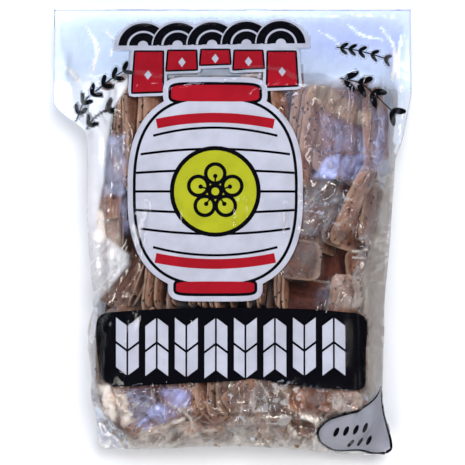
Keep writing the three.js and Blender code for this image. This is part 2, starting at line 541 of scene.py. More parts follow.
def fold_places(x, y):
    """Where points lie across and along the film's fine folds, which turn from facet to facet."""
    middle_x, middle_y, share = Facets(FOLD_FACETS, seed=52).cells(x, y)
    table = np.array(WRINKLES)
    distances = np.hypot(middle_x[..., None] - table[:, 0], middle_y[..., None] - table[:, 1])
    turn = np.radians(table[distances.argmin(axis=-1), 4] + FOLD_TURN * (share - 0.5))
    right, up = x - middle_x, y - middle_y
    across = up * np.cos(turn) - right * np.sin(turn)
    along = right * np.cos(turn) + up * np.sin(turn)
    apart = 900 * share  # gives each facet another part of the pattern
    return np.stack([across, FOLD_STRETCH * along, apart], -1)


def crumpled_front(grid, over):
    """The front film: evened out under the print, crumpled where it is slack, over the crackers."""
    grid = tautened(grid)
    x, y = grid[..., 0], grid[..., 1]
    loose = 1 - stiffness(x, y)
    slack = slackness(x, y) * lerp(PRINT_SLACK, 1, loose)
    bend, bend_size = 5, 24
    bent_x = x + bend * smooth_noise(x, y, bend_size, seed=8)
    bent_y = y + bend * smooth_noise(x, y, bend_size, seed=9)
    coarse = Facets(17, seed=21).heights(bent_x, bent_y)
    middling = Facets(8.5, seed=22).heights(bent_x, bent_y)
    fine = Facets(4.6, seed=23).heights(x, y)
    facets = slack * (2.4 * coarse + 1.5 * middling + 0.6 * fine)
    grid = crumple(grid, facets + loose * wrinkles(x, y))
    return lifted(grid, over)


def parted(front, back):
    """Keeps the front film above the back film, inside their common rim."""
    inner = np.s_[1:-1, 1:-1, 2]
    front = front.copy()
    front[inner] = np.maximum(front[inner], back[inner] + RIM_GAP)
    return front


def crumpled_back(grid):
    """The back film: flat on the table, and crumpled where it leaves it."""
    x, y, z = np.moveaxis(grid, -1, 0)
    off_table = ease(2, 12, z)
    height, spacing = 0.9, 13
    return crumple(grid, off_table * height * Facets(spacing, seed=31).heights(x, y))


# ------------------------------------------------------------------ crackers

# A cracker is a thin tile folded over a rod: flat along its length, an arc across its width.
TILE_LENGTH = 94.0
TILE_CHORD = 68.0
TILE_RISE = 13.0  # of the arc over its chord
TILE_THICKNESS = 1.8
TILE_CORNER = 10.0
TILE_STEPS = (16, 12)  # cells along and across a tile
TILE_WAVES = (19, 8)  # the size of its broad and its small waves
FILM_CLEARANCE = 2.4  # between the crackers and the CAD solid's face, for the film and the print


def crowded_steps(count):
    """-1 to 1 in steps that get shorter towards both ends."""
    even = np.linspace(-1, 1, count + 1)
    return lerp(even, np.sin(even * math.pi / 2), 0.6)


def tile_points(draw, length, chord, rise, thickness):
    """The upper and lower grids of one tile, lying along Y and bulging to +X, chord along Z."""
    along, across = TILE_STEPS
    v = crowded_steps(across)
    radius = (chord**2 / 4 + rise**2) / (2 * rise)
    half_angle = math.asin(chord / 2 / radius)
    arc = radius * half_angle
    corner = min(TILE_CORNER, arc / 2, length / 4)
    past = np.clip(np.abs(v) * arc - (arc - corner), 0, corner)
    reach = length / 2 - corner + np.sqrt(np.maximum(corner**2 - past**2, 0))
    u = crowded_steps(along)
    y = u[:, None] * reach[None, :]
    angle = np.broadcast_to(v * half_angle, y.shape)
    seed = int(draw.integers(1 << 30))
    broad, small = (
        smooth_noise(y, angle * radius, size, seed + index) for index, size in enumerate(TILE_WAVES)
    )
    y = y * (1 + 0.016 * small)
    bumps = 0.8 * broad + 0.35 * small
    twist = draw.uniform(-0.07, 0.07) * y / (length / 2)
    sheets = []
    for side in (1, -1):
        thinned = 1 - 0.45 * np.maximum(abs(u[:, None]) ** 12, abs(v[None, :]) ** 12)
        r = radius + side * thickness / 2 * thinned + bumps
        x = r * np.cos(angle + twist) - (radius - rise / 2)
        z = r * np.sin(angle + twist) * (1 + 0.025 * broad)
        sheets.append(np.stack([x, y, z], -1))
    return sheets


def tile_faces():
    """The faces of a tile's two grids, and of the rim between them."""
    rows, columns = TILE_STEPS[0] + 1, TILE_STEPS[1] + 1
    outer = np.arange(rows * columns).reshape(rows, columns)
    inner = outer + rows * columns
    rims = []
    for line, other in (
        (outer[0], inner[0]),
        (outer[-1][::-1], inner[-1][::-1]),
        (outer[:, 0][::-1], inner[:, 0][::-1]),
        (outer[:, -1], inner[:, -1]),
    ):
        rims.append(np.stack([line[:-1], line[1:], other[1:], other[:-1]], -1))
    outer_faces = grid_quads(outer)[:, [0, 3, 2, 1]]
    inner_faces = grid_quads(inner)[:, [1, 2, 3, 0]]
    return np.concatenate([outer_faces, inner_faces, *rims])


def turned(points, roll, pitch, yaw):
    """Turns points by roll about Y, then pitch about X, then yaw about Z, in degrees."""
    r, p, w = np.radians([roll, pitch, yaw])
    about_y = np.array([[math.cos(r), 0, math.sin(r)], [0, 1, 0], [-math.sin(r), 0, math.cos(r)]])
    about_x = np.array([[1, 0, 0], [0, math.cos(p), -math.sin(p)], [0, math.sin(p), math.cos(p)]])
    about_z = np.array([[math.cos(w), -math.sin(w), 0], [math.sin(w), math.cos(w), 0], [0, 0, 1]])
    return points @ (about_z @ about_x @ about_y).T


class Crackers:
    """Collects tiles, and joins them into one mesh.

    Its attributes are read by the crackers' material: toast is how near a point is to its tile's
    edge, texture where the point lies on a flat tile, and the third how pale the tile is: random for
    most, given for placed tiles, and dark as painted shade on those that lie in shade.
    """

    SHEET_GAP = 7  # mm, between the two faces of a tile in texture
    TEXTURE_REACH = 900  # mm, over which the tiles' places in texture are spread

    def __init__(self, room):
        self.room = room
        self.draw = np.random.default_rng(SEED)
        self.points, self.toast, self.batch, self.texture = [], [], [], []

    def add(self, x, y, z, roll, pitch, yaw, length, chord, tone=None):
        """Adds a tile; its tone, from 0 for dark to 1 for pale, is random unless it is given."""
        draw = self.draw
        share = chord / TILE_CHORD
        sheets = tile_points(
            draw,
            length * draw.uniform(0.97, 1.02),
            chord * draw.uniform(0.96, 1.02),
            TILE_RISE * share**2 * draw.uniform(0.85, 1.15),
            TILE_THICKNESS * draw.uniform(0.85, 1.15),
        )
        u, v = np.meshgrid(*(crowded_steps(count) for count in TILE_STEPS), indexing="ij")
        edge = np.maximum(np.abs(u) ** 3, np.abs(v) ** 3)
        points = np.concatenate([s.reshape(-1, 3) for s in sheets])
        points = turned(points, roll, pitch, yaw) + np.array([x, y, z])
        self.points.append(self.fitted(points))
        self.toast.append(np.tile(edge.ravel(), 2))
        own_tone = draw.uniform()
        self.batch.append(np.full(len(points), own_tone if tone is None else tone))
        flat = np.stack([u.ravel() * length / 2, v.ravel() * chord / 2, np.zeros(u.size)], -1)
        layers = np.concatenate([flat, flat + (0, 0, self.SHEET_GAP)])
        self.texture.append(layers + draw.uniform(-self.TEXTURE_REACH, self.TEXTURE_REACH, 3))

    def fitted(self, points):
        """Moves a tile in from the bag's sides, then presses what still stands out."""
        tries, sinking, rising, shrinking = 60, 0.35, 0.15, 0.995
        for _ in range(tries):
            x, y, z = points.T
            top = self.room.top(x, y) - FILM_CLEARANCE
            bottom = self.room.bottom(x, y) + FILM_CLEARANCE
            off_plan = ~self.room.is_open(x, y)
            outside = (z > top) | (z < bottom) | off_plan
            if outside.mean() < 0.02 and not off_plan.any():
                break
            middle = points.mean(axis=0)
            inward = (middle - points[outside].mean(axis=0))[:2]
            inward *= 1.0 / max(np.linalg.norm(inward), 4.0)
            too_tall = (z > top).mean() > (z < bottom).mean() * 2
            points = points + np.array([*inward, -sinking if too_tall else rising])
            points = middle + (points - middle) * shrinking
        x, y, z = points.T
        top = self.room.top(x, y) - FILM_CLEARANCE
        bottom = self.room.bottom(x, y) + FILM_CLEARANCE / 2
        return np.stack([x, y, np.clip(z, np.minimum(bottom, top - 1), top)], -1)

    def made(self):
        """The one mesh of all the tiles."""
        faces, step = tile_faces(), len(self.points[0])
        points = np.concatenate(self.points)
        all_faces = np.concatenate([faces + step * i for i in range(len(self.points))])
        made = new_object("crackers", points * MM, all_faces)
        write_attribute(made, "toast", np.concatenate(self.toast))
        write_attribute(made, "batch", np.concatenate(self.batch))
        write_attribute(made, "texture", np.concatenate(self.texture) * MM)
        return made


# The tiers under the print, the top one first: middle y, first x, last x, roll, yaw, and length as
# a share of a whole tile's.
TIERS = (
    (81, -76, 50, -14, 1, 1.0),
    (-21, -68, 34, 8, -5, 1.02),
    (-106, -98, 38, -12, 3, 0.86),
)
STACK_HEIGHT = 43  # mm, of the middle of a tile on edge


def stack_tiles(crackers):
    """Three tiers of nested tiles on edge, in groups with gaps between."""
    draw = crackers.draw
    for middle, first, last, roll, yaw, share in TIERS:
        x = first
        while x < last:
            group_roll = roll + draw.uniform(-9, 9)
            group_yaw = yaw + draw.uniform(-4, 4)
            group_y = middle + draw.uniform(-4, 4)
            height = STACK_HEIGHT + draw.uniform(-3.0, 1.5)
            for _ in range(draw.integers(2, 6)):
                crackers.add(
                    x,
                    group_y + draw.uniform(-2, 2),
                    height + draw.uniform(-2.0, 0.5),
                    roll=group_roll + draw.uniform(-2, 2),
                    pitch=draw.uniform(-1.5, 1.5),
                    yaw=group_yaw + draw.uniform(-1, 1),
                    length=TILE_LENGTH * share * draw.uniform(0.97, 1.05),
                    chord=TILE_CHORD * draw.uniform(0.96, 1.0),
                )
                x += draw.uniform(3.0, 4.4)
            x += draw.uniform(3, 8)


# Tiles beside the print, which have slid or fallen over so that they show their broad faces:
# x, y, z, roll, pitch, yaw, length, chord and tone, from dark to pale.
# A tone of 0 is painted shade: those tiles are made dark because they lie in shade.
PLACED_TILES = (
    # left of the print, the upper tier
    (-79, 77, 43, -8, 0, 0, 88, 64, 0.4),
    (-83, 76, 43, -8, 0, -1, 84, 64, 0.75),
    (-88, 74, 41, -7, 0, -2, 76, 60, 0.6),
    (-92, 68, 38, -6, 0, -3, 66, 54, 0.85),
    (-96, 58, 35, -4, 0, -3, 55, 48, 0.45),
    (-99, 48, 31, 0, 0, -2, 42, 40, 0.7),
    (-105, 24, 36, 36, 0, 4, 28, 40, 1.0),
    (-101, -2, 37, 24, 0, -4, 56, 50, 0.9),
    (-92, 18, 37, 8, 0, -4, 66, 58, 0.2),
    # the middle tier, fanned out and leaning over, the lower ends under the banner
    (-74, -14, 43, 10, 0, -12, 94, 64, 0.5),
    (-80, -20, 43, 30, 0, -20, 92, 64, 0.75),
    (-89, -28, 42, 46, 0, -27, 86, 60, 0.35),
    (-98, -38, 38, 54, 0, -31, 76, 54, 0.5),
    (-106, -46, 31, 56, 0, -33, 60, 44, 0.35),
    # the bottom tier
    (-103, -104, 40, 14, 0, 0, 76, 56, 0.8),
    (-106, -103, 40, 10, 0, 2, 74, 50, 0.5),
    (-110, -102, 38, 6, 0, 2, 72, 42, 0.9),
    (-113, -102, 37, 2, 0, 2, 70, 34, 0.6),
    (-116, -102, 36, 0, 0, 1, 64, 26, 1.0),
    # right of the print, the upper tier: three on edge, two fallen, four at the end
    (55, 84, 43, -10, 0, -8, 92, 66, 0.35),
    (59, 83, 43, -10, 0, -9, 90, 66, 0.55),
    (63, 82, 43, -11, 0, -10, 88, 66, 0.35),
    (67.5, 82, 43, -13, 0, -10, 86, 66, 0.75),
    (72, 81, 42, -16, 0, -11, 82, 62, 0.5),
    (97, 78, 37, -50, -10, -16, 78, 60, 0.3),
    (95, 82, 46, -52, -12, -14, 82, 54, 0.5),
    (117, 80, 34, -16, 0, 1, 74, 48, 0.75),
    (123, 79, 31, -14, 0, 2, 70, 42, 0.6),
    (129, 78, 27, -10, 0, 3, 62, 34, 0.4),
    (132, 78, 33, -52, 0, 2, 50, 18, 0.3),
    # the middle tier
    (48, 2, 40, -40, 0, -8, 84, 66, 0.3),
    (67, 16, 48, -62, -4, -14, 60, 66, 0.3),
    (97, 31, 46, -10, 0, -25, 70, 64, 1.0),
    (101, 29, 44, -12, 0, -25, 66, 60, 0.4),
    (113, 18, 36, -56, -6, -16, 64, 52, 0.16),
    (125, 22, 27, -24, 0, -8, 56, 36, 0.3),
    (90, -24, 24, -84, 0, 8, 76, 66, 0.0),
    (112, -40, 27, -30, 0, 4, 44, 40, 0.55),
    # between the middle tier and the bottom one
    (60, -56, 43, -72, 0, 84, 62, 40, 0.0),
    (89, -55, 50, -78, 0, -2, 40, 20, 0.7),
    (101, -62, 40, -50, 0, 4, 52, 40, 0.6),
    # the bottom tier
    (50, -108, 43, -20, 0, -2, 78, 66, 0.25),
    (57, -107, 43, -26, 0, 4, 82, 64, 0.55),
    (66, -109, 42, -34, 0, 2, 74, 64, 0.35),
    (78, -107, 41, -20, 0, -6, 80, 62, 0.7),
    (90, -108, 39, -30, 0, 4, 74, 58, 0.5),
    (102, -106, 36, -18, 0, -3, 76, 52, 0.65),
    (110, -105, 32, -14, 0, 2, 72, 44, 0.45),
    (117, -103, 27, -12, 0, 2, 66, 34, 0.6),
    # a broken half lies flat on the others, with a rounded corner; its dark tone is painted shade
    (42, -21, 70, -88, 2, 86, 62, 33, 0.0),
)


def lay_floor_tiles(crackers):
    """Tiles that have slid flat on the back film, and close the gaps seen from above; their near-black
    tone is painted shade in the deep gaps.
    """
    size, pitch, first = 66, 46, -92
    for row, y in enumerate((-136, -84, -32, 20, 72, 112)):
        for column in range(5):
            x = first + pitch * column + 6 * (row % 2)
            z = 13 + 2 * (column % 2)
            crackers.add(x, y, z, roll=-88, pitch=0, yaw=88, length=size, chord=size, tone=0.05)


def place_tiles(crackers):
    """The tiles beside the print, each in its place."""
    for tile in PLACED_TILES:
        crackers.add(*tile)


# Broken pieces below and over the last tier's ends: count, lowest and highest y, least and
# greatest height as a share of the room's, how far they tip, and their greatest length.
PIECES = (
    (44, -177, -146, 0.3, 0.95, 34, 48),
    (16, -152, -128, 0.90, 0.99, 16, 44),
)


def scatter_pieces(crackers):
    """Broken pieces fill the bag's bottom end, below the last tier."""
    draw = crackers.draw
    for count, lowest, highest, deepest, shallowest, tip, longest in PIECES:
        for _ in range(count):
            x = draw.uniform(-104, 106)
            y = draw.uniform(lowest, highest)
            room_here = crackers.room.top(np.array([x]), np.array([y]))[0]
            crackers.add(
                x,
                y,
                draw.uniform(deepest, shallowest) * room_here,
                roll=-90 + draw.uniform(-tip, tip),
                pitch=draw.uniform(-tip, tip) / 2,
                yaw=draw.uniform(0, 360),
                length=draw.uniform(20, longest),
                chord=draw.uniform(16, 32),
            )


def pebble(draw, size, squash):
    """The points of a small lumpy grain, squashed along its axes, and its faces."""
    rings, around = 4, 6
    points = [(0, 0, 1)]
    for ring in range(1, rings):
        polar = math.pi * ring / rings
        for step in range(around):
            angle = 2 * math.pi * (step + 0.5 * ring) / around
            out = math.sin(polar)
            points.append((out * math.cos(angle), out * math.sin(angle), math.cos(polar)))
    points.append((0, 0, -1))
    points = np.array(points) * size * squash
    points *= 1 + draw.uniform(-0.18, 0.18, (len(points), 1))
    faces = []
    last = 1 + around * (rings - 2)  # the last ring's first point
    for step in range(around):
        following = (step + 1) % around
        faces.append((0, 1 + step, 1 + following))
        faces.append((len(points) - 1, last + following, last + step))
        for ring in range(rings - 2):
            upper, lower = 1 + around * ring, 1 + around * (ring + 1)
            faces.append((upper + step, lower + step, upper + following))
            faces.append((upper + following, lower + step, lower + following))
    return points, np.array(faces)


def random_turn(draw):
    """A random turning matrix."""
    q = draw.normal(size=4)
    w, x, y, z = q / np.linalg.norm(q)
    return np.array([
        [1 - 2 * (y * y + z * z), 2 * (x * y - z * w), 2 * (x * z + y * w)],
        [2 * (x * y + z * w), 1 - 2 * (x * x + z * z), 2 * (y * z - x * w)],
        [2 * (x * z - y * w), 2 * (y * z + x * w), 1 - 2 * (x * x + y * y)],
    ])


def joined(name, parts):
    """One mesh of many small pieces, with a random number per piece in the attribute tone."""
    points, faces, tones, count = [], [], [], 0
    for part_points, part_faces, tone in parts:
        points.append(part_points)
        faces.append(part_faces + count)
        tones.append(np.full(len(part_points), tone))
        count += len(part_points)
    made = new_object(name, np.concatenate(points) * MM, np.concatenate(faces))
    write_attribute(made, "tone", np.concatenate(tones))
    return made


SEED_SIZE = np.array([1.5, 0.95, 0.42])  # half a sesame seed's length, width and thickness
SEED_TRIES = 1300  # places where one may lie
SEED_AREA = ((-125, 132), (-172, 130))  # the ranges of x and y of these places
SEEDS_ABOVE = 34  # mm; no seed shows on the dark crackers below this height
SEED_LIFT = 0.12  # mm, of its middle over the cracker's face


def sesame_seeds(tiles):
    """Seeds baked into the crackers' faces, wherever a face looks up."""
    draw = np.random.default_rng(SEED + 1)
    tree = BVHTree.FromObject(tiles, bpy.context.evaluated_depsgraph_get())
    parts = []
    for _ in range(SEED_TRIES):
        x, y = (draw.uniform(*limits) for limits in SEED_AREA)
        start = Vector((x * MM, y * MM, 0.2))
        place, normal, _, _ = tree.ray_cast(start, Vector((0, 0, -1)))
        if place is None or normal.z < 0.2 or place.z < SEEDS_ABOVE * MM:
            continue
        points, faces = pebble(draw, draw.uniform(0.85, 1.1), SEED_SIZE)
        spin = draw.uniform(0, 2 * math.pi)
        side = normal.cross(Vector((math.cos(spin), math.sin(spin), 0.1))).normalized()
        basis = np.array([normal.cross(side), side, normal])
        points = points @ basis + np.array(place) / MM + np.array(normal) * SEED_LIFT
        parts.append((points, faces, draw.uniform()))
    return joined("sesame_seeds", parts)


CRUMB_SHAPE = np.array([1.3, 1.0, 0.55])
CRUMB_TRIES = 420  # places where one may lie
CRUMB_GAP = 0.6  # mm, that the crumbs keep to the film


def crumbs(room):
    """Crumbs that have gathered inside the film at the bag's lowest end."""
    draw = np.random.default_rng(SEED + 2)
    parts = []
    for _ in range(CRUMB_TRIES):
        x, y = draw.uniform(-108, 112), -178 + abs(draw.normal()) * 13
        at = np.array([x]), np.array([y])
        top, bottom = room.top(*at)[0] - CRUMB_GAP, room.bottom(*at)[0] + CRUMB_GAP
        size = draw.uniform(0.7, 2.4) ** 1.2
        if top - bottom < 1.2 * size or not room.is_open(*at)[0]:
            continue
        z = lerp(bottom + size * 0.5, top - size * 0.6, draw.uniform() ** 1.3)
        points, faces = pebble(draw, size, CRUMB_SHAPE)
        points = points @ random_turn(draw).T + (x, y, z)
        parts.append((points, faces, draw.uniform()))
    return joined("crumbs", parts)


# ------------------------------------------------------------------ the print

# The print is a list of shapes, each an ink and an outline, and a later shape lies over an earlier
# one. One triangulation holds all their outlines, so the inks meet edge to edge.
PRINT_DEPTH = 0.12  # under the film's surface
PRINT_CELL = 2.3  # the triangles' size inside the outlines
OUTLINE_STEP = 1.6  # the longest edge along an outline


def circle(x, y, radius, squash=1.0, turn=0.0, steps=48):
    """A circle, or an ellipse that is squashed and then turned."""
    angle = np.linspace(0, 2 * math.pi, steps, endpoint=False)
    return placed(np.stack([np.cos(angle), squash * np.sin(angle)], -1) * radius, x, y, turn)


def placed(points, x, y, turn=0.0):
    """Points turned by some degrees about 0, 0 and then moved to x, y."""
    c, s = math.cos(math.radians(turn)), math.sin(math.radians(turn))
    return np.asarray(points, float) @ np.array([[c, s], [-s, c]]) + (x, y)


def fan(x, y, radius, start=0.0, end=180.0, steps=28):
    """A disc's segment, closed along its chord."""
    angle = np.radians(np.linspace(start, end, steps))
    return np.stack([x + radius * np.cos(angle), y + radius * np.sin(angle)], -1)


def oblong(x, y, half_width, half_height, power=4.0, steps=96):
    """A rectangle with well-rounded corners, the squarer the higher its power."""
    angle = np.linspace(0, 2 * math.pi, steps, endpoint=False)
    sides = np.stack([np.cos(angle), np.sin(angle)], -1)
    return np.sign(sides) * np.abs(sides) ** (2 / power) * (half_width, half_height) + (x, y)


def curve(points, steps=8):
    """A smooth line through points."""
    p = extended(np.asarray(points, float))
    shares = np.linspace(0, 1, steps, endpoint=False)
    line = [catmull_rom(*p[i : i + 4], u) for i in range(len(p) - 3) for u in shares]
    return np.array([*line, p[-2]])


def stroke(line, width):
    """The outline of a line drawn with a pen of some width."""
    line = np.asarray(line, float)
    along = np.gradient(line, axis=0)
    along /= np.maximum(np.linalg.norm(along, axis=1, keepdims=True), 1e-9)
    side = np.stack([-along[:, 1], along[:, 0]], -1) * width / 2
    return np.concatenate([line + side, (line - side)[::-1]])


def grown(outline, by):
    """An outline moved outwards by a distance, or inwards if it is negative."""
    outline = np.asarray(outline, float)
    along = np.roll(outline, -1, axis=0) - np.roll(outline, 1, axis=0)
    along /= np.maximum(np.linalg.norm(along, axis=1, keepdims=True), 1e-9)
    x, y = outline.T
    area = np.sum(x * np.roll(y, -1) - y * np.roll(x, -1))
    return outline + np.stack([along[:, 1], -along[:, 0]], -1) * by * np.sign(area)


LANTERN_X, LANTERN_Y = -14.0, 33
LANTERN_HALF = (66, 76)  # its half width and half height
LANTERN_POWER = 2.7
RIB_HALF = 65  # how far the ribs reach at the lantern's middle
RIB_PITCH = 19.5


def lantern_half(off_middle):
    """Half the lantern's width inside its edge, at a distance above or below its middle."""
    level = abs(off_middle / LANTERN_HALF[1]) ** LANTERN_POWER
    return RIB_HALF * (1 - level) ** (1 / LANTERN_POWER)


def lantern_shapes():
    """A white paper lantern with dark ribs, red caps and a yellow roundel with a plum flower."""
    body = oblong(LANTERN_X, LANTERN_Y, *LANTERN_HALF, power=LANTERN_POWER)
    top_cap = oblong(LANTERN_X, 113, 37, 8, power=5)
    foot = oblong(LANTERN_X, -45, 33, 6, power=5)
    shapes = [("white", grown(shape, 5.5)) for shape in (body, top_cap, foot)]
    shapes += [("black", grown(shape, 1.2)) for shape in (body, top_cap, foot)]
    inks = ("white", "red", "red")
    shapes += [(ink, grown(shape, -1.2)) for ink, shape in zip(inks, (body, top_cap, foot))]
    for rib in range(-3, 4):
        half = lantern_half(rib * RIB_PITCH)
        bow = -2.2 * rib
        x = np.linspace(-half, half, 25)
        y = LANTERN_Y + rib * RIB_PITCH + bow * (x / half) ** 2 + bow
        shapes.append(("black", stroke(np.stack([LANTERN_X + x, y], -1), 2.0)))
    for level in (93, -26):
        half = lantern_half(level - LANTERN_Y) - 1.5
        bow = math.copysign(5, LANTERN_Y - level)
        x = np.linspace(-half, half, 25)
        y = level + bow * (x / half) ** 2
        shapes.append(("red", stroke(np.stack([LANTERN_X + x, y], -1), 8)))
    return shapes + roundel_shapes(LANTERN_X, LANTERN_Y)


def roundel_shapes(x, y):
    """A yellow disc in a black ring, with a black plum flower."""

    def petal_place(petal, reach):
        angle = math.radians(90 + 72 * petal)
        return x + reach * math.cos(angle), y + reach * math.sin(angle)

    shapes = [("black", circle(x, y, 37)), ("yellow", circle(x, y, 33.5))]
    for petal in range(5):
        middle = petal_place(petal, 14.5)
        shapes.append(("black", circle(*middle, 9.3, steps=30)))
        shapes.append(("yellow", circle(*middle, 6.3, steps=24)))
    shapes.append(("black", circle(x, y, 6.5, steps=24)))
    for stamen in range(5):
        tip = petal_place(stamen, 12.5)
        shapes.append(("black", stroke([(x, y), tip], 1.4)))
        shapes.append(("black", circle(*tip, 1.9, steps=12)))
    shapes.append(("yellow", circle(x, y, 3.2, steps=18)))
    return shapes


def wave_shapes():
    """A row of black wave fans, where a title would be."""
    count, pitch, radius = 5, 28.6, 21.5
    rings = ((1, "white"), (0.95, "black"), (0.62, "white"), (0.54, "black"), (0.2, "white"))
    fans = [(-17 + pitch * (i - (count - 1) / 2), 154.5 + 0.5 * i) for i in range(count)]
    shapes = [("white", fan(x, y - 1.8, radius + 2.6, -5, 185)) for x, y in fans]
    for x, y in fans:
        shapes += [(ink, fan(x, y, radius * share)) for share, ink in rings]
    return shapes


def curtain_shapes():
    """Five short red panels hung in an arch, each with a small white lozenge."""
    lozenge = [(0, -4.2), (3.0, 0), (0, 4.2), (-3.0, 0)]
    half, pitch = 12.75, 27.4
    panels = []
    for i, bottom in enumerate((113, 132, 137, 133, 118)):
        x = -69 + pitch * i
        top = 151 - 0.8 * abs(i - 2)
        corners = [(x - half, bottom), (x + half, bottom + 1), (x + half - 1, top), (x - half + 1, top)]
        panels.append((x, resampled(np.array(corners, float))))
    shapes = [("white", grown(panel, 3.2)) for _, panel in panels]
    shapes += [("black", grown(panel, 0.9)) for _, panel in panels]
    for x, panel in panels:
        low, high = panel[:, 1].min(), panel[:, 1].max()
        shapes.append(("red", grown(panel, -0.7)))
        shapes.append(("white", placed(lozenge, x, low + 0.42 * (high - low))))
    return shapes


def banner_outline():
    """The banner's outline: wavy above and below, with four rounded corners."""
    top = [(-101, -65.5), (-60, -62.6), (0, -61.5), (60, -62.8), (101, -66)]
    left = [(-101, -65.5), (-108.5, -68.5), (-112, -76), (-111, -100), (-107, -118), (-97, -126)]
    bottom = [(-97, -126), (-50, -123.5), (0, -121), (18, -119), (48, -124.5), (85, -128), (104, -129)]
    right = [(104, -129), (109, -124), (109.5, -100), (111, -78), (108, -69.5), (101, -66)]
    return np.concatenate([curve(top)[::-1], curve(left)[1:], curve(bottom)[1:], curve(right)[1:-1]])


def banner_shapes():
    """A black banner with a row of pale arrow feathers, pointing up and down by turns."""
    count, pitch, half_width, notch = 8, 24.0, 10.0, 3.75
    shapes = [("black", banner_outline())]
    for i in range(count):
        x = -1.5 + pitch * (i - (count - 1) / 2)
        up = 1 if i % 2 else -1
        low, high = -116 - 1.2 * math.cos(x / 24), -71.5
        middle, half = (low + high) / 2, (high - low) / 2
        for start, end in ((-half, -1.2), (1.2, half)):
            arrow = [(-half_width, start - notch), (0, start + notch), (half_width, start - notch)]
            arrow += [(half_width, end - notch), (0, end + notch), (-half_width, end - notch)]
            shapes.append(("white", np.array(arrow) * (0.93, 0.93 * up) + (x, middle)))
        shapes.append(("black", stroke([(x, low - 3), (x, high + 3)], 1.5)))
    return shapes


def grain(x, y, length, turn):
    """A grain of rice."""
    return circle(x, y, length / 2, squash=0.42, turn=turn, steps=20)


def sprig_shapes(line, grain_length, pairs):
    """An ear of rice: grains in pairs along a curved stalk."""
    line = curve(line, steps=12)
    shapes = [("black", stroke(line, 1.1))]
    for pair in range(pairs):
        index = int((len(line) - 2) * (0.12 + 0.86 * pair / (pairs - 1)))
        at, ahead = line[index], line[index + 1]
        heading = math.degrees(math.atan2(*(ahead - at)[::-1]))
        for side in (-1, 1):
            lean = heading + side * 38
            reach = grain_length * 0.55
            x = at[0] + reach * math.cos(math.radians(lean))
            y = at[1] + reach * math.sin(math.radians(lean))
            shapes.append(("black", grain(x, y, grain_length, lean)))
    return shapes


LABEL_TOP = -129.5  # y; the ink below it, right of the middle, is the label's, which is made darker


def label_shapes():
    """A pale bubble with a black edge, at the bottom right corner, with two rows of grains."""
    bubble = curve([
        (123.2, -128.4), (116, -139), (106, -144.5), (91, -148.7), (79, -153), (72, -159.5), (70, -166),
        (73, -173.5), (79, -179), (87, -182.5), (106, -182.7), (119, -186), (131, -184), (133, -176),
        (126, -150), (123.2, -128.4),
    ])[:-1]
    shapes = [("black", grown(bubble, 0.9)), ("white", grown(bubble, -1.0))]
    upper = ((85, -164), (93, -163), (101, -162), (109, -161))
    lower = ((98, -175), (106, -174.5), (114, -174))
    shapes += [("black", grain(x, y, 9, turn=68)) for x, y in upper + lower]
    return shapes


# The sprigs: the points of their stalk, the length of their grains, and pairs of them.
SPRIGS = (
    (((-131, 92), (-122, 108), (-104, 122), (-87, 133)), 9.5, 6),
    (((-121, 86), (-112, 95), (-101, 101)), 9.5, 2),
    (((86, 153), (104, 150), (130, 143)), 8, 5),
    (((88, 126), (108, 120), (136, 97)), 13, 4),
)


def all_shapes():
    """The whole print, in the order in which its shapes lie over each other."""
    shapes = wave_shapes() + curtain_shapes() + lantern_shapes() + banner_shapes() + label_shapes()
    for sprig in SPRIGS:
        shapes += sprig_shapes(*sprig)
    return shapes


def resampled(outline):
    """Splits an outline's long edges."""
    points = []
    for start, end in zip(outline, np.roll(outline, -1, axis=0)):
        steps = max(1, math.ceil(np.linalg.norm(end - start) / OUTLINE_STEP))
        points += [lerp(start, end, step / steps) for step in range(steps)]
    return np.array(points)


def inside(points, outline):
    """Which points lie inside an outline."""
    found = np.zeros(len(points), bool)
    low, high = outline.min(axis=0), outline.max(axis=0)
    near = np.nonzero(((points >= low) & (points <= high)).all(axis=1))[0]
    if not len(near):
        return found
    x, y = points[near].T
    odd = np.zeros(len(near), bool)
    for (x0, y0), (x1, y1) in zip(outline, np.roll(outline, -1, axis=0)):
        if y0 != y1:
            crosses = (y0 > y) != (y1 > y)
            odd ^= crosses & (x < x0 + (y - y0) * (x1 - x0) / (y1 - y0))
    found[near] = odd
    return found


def inside_any(x, y, outlines):
    """Which points of a grid lie inside one of some outlines."""
    flat = np.stack([x.ravel(), y.ravel()], -1)
    found = [inside(flat, np.array(outline, float)) for outline in outlines]
    return np.any(found, axis=0).reshape(x.shape)


def is_printed(x, y):
    """Which points of a grid lie under ink."""
    return inside_any(x, y, [outline for _, outline in all_shapes()])


def stiffness(x, y):
    """1 where the film is stiffened by ink, easing to 0 around it."""
    return np.clip(1.6 * spread(is_printed(x, y).astype(float), 3) - 0.3, 0, 1)


PRINT_AREA = ((-148, -186), (148, 182))  # mm, two corners of the area that its points are laid on
HIDDEN_HEIGHT = 25  # mm, of print points where no film is found


def print_points(shapes):
    """The points inside the shapes and along them, and the edges along the outlines."""
    (low_x, low_y), (high_x, high_y) = PRINT_AREA
    ys = np.arange(low_y, high_y, PRINT_CELL * 0.87)  # which makes the triangles about equal
    x, y = np.meshgrid(np.arange(low_x, high_x, PRINT_CELL), ys)
    x[1::2] += PRINT_CELL / 2
    grid = np.stack([x.ravel(), y.ravel()], -1)
    covered = np.any([inside(grid, outline) for _, outline in shapes], axis=0)
    points, edges = [grid[covered]], []
    count = int(covered.sum())
    for _, outline in shapes:
        ring = np.arange(len(outline)) + count
        edges += list(zip(ring.tolist(), np.roll(ring, -1).tolist()))
        points.append(outline)
        count += len(outline)
    return np.concatenate(points), edges


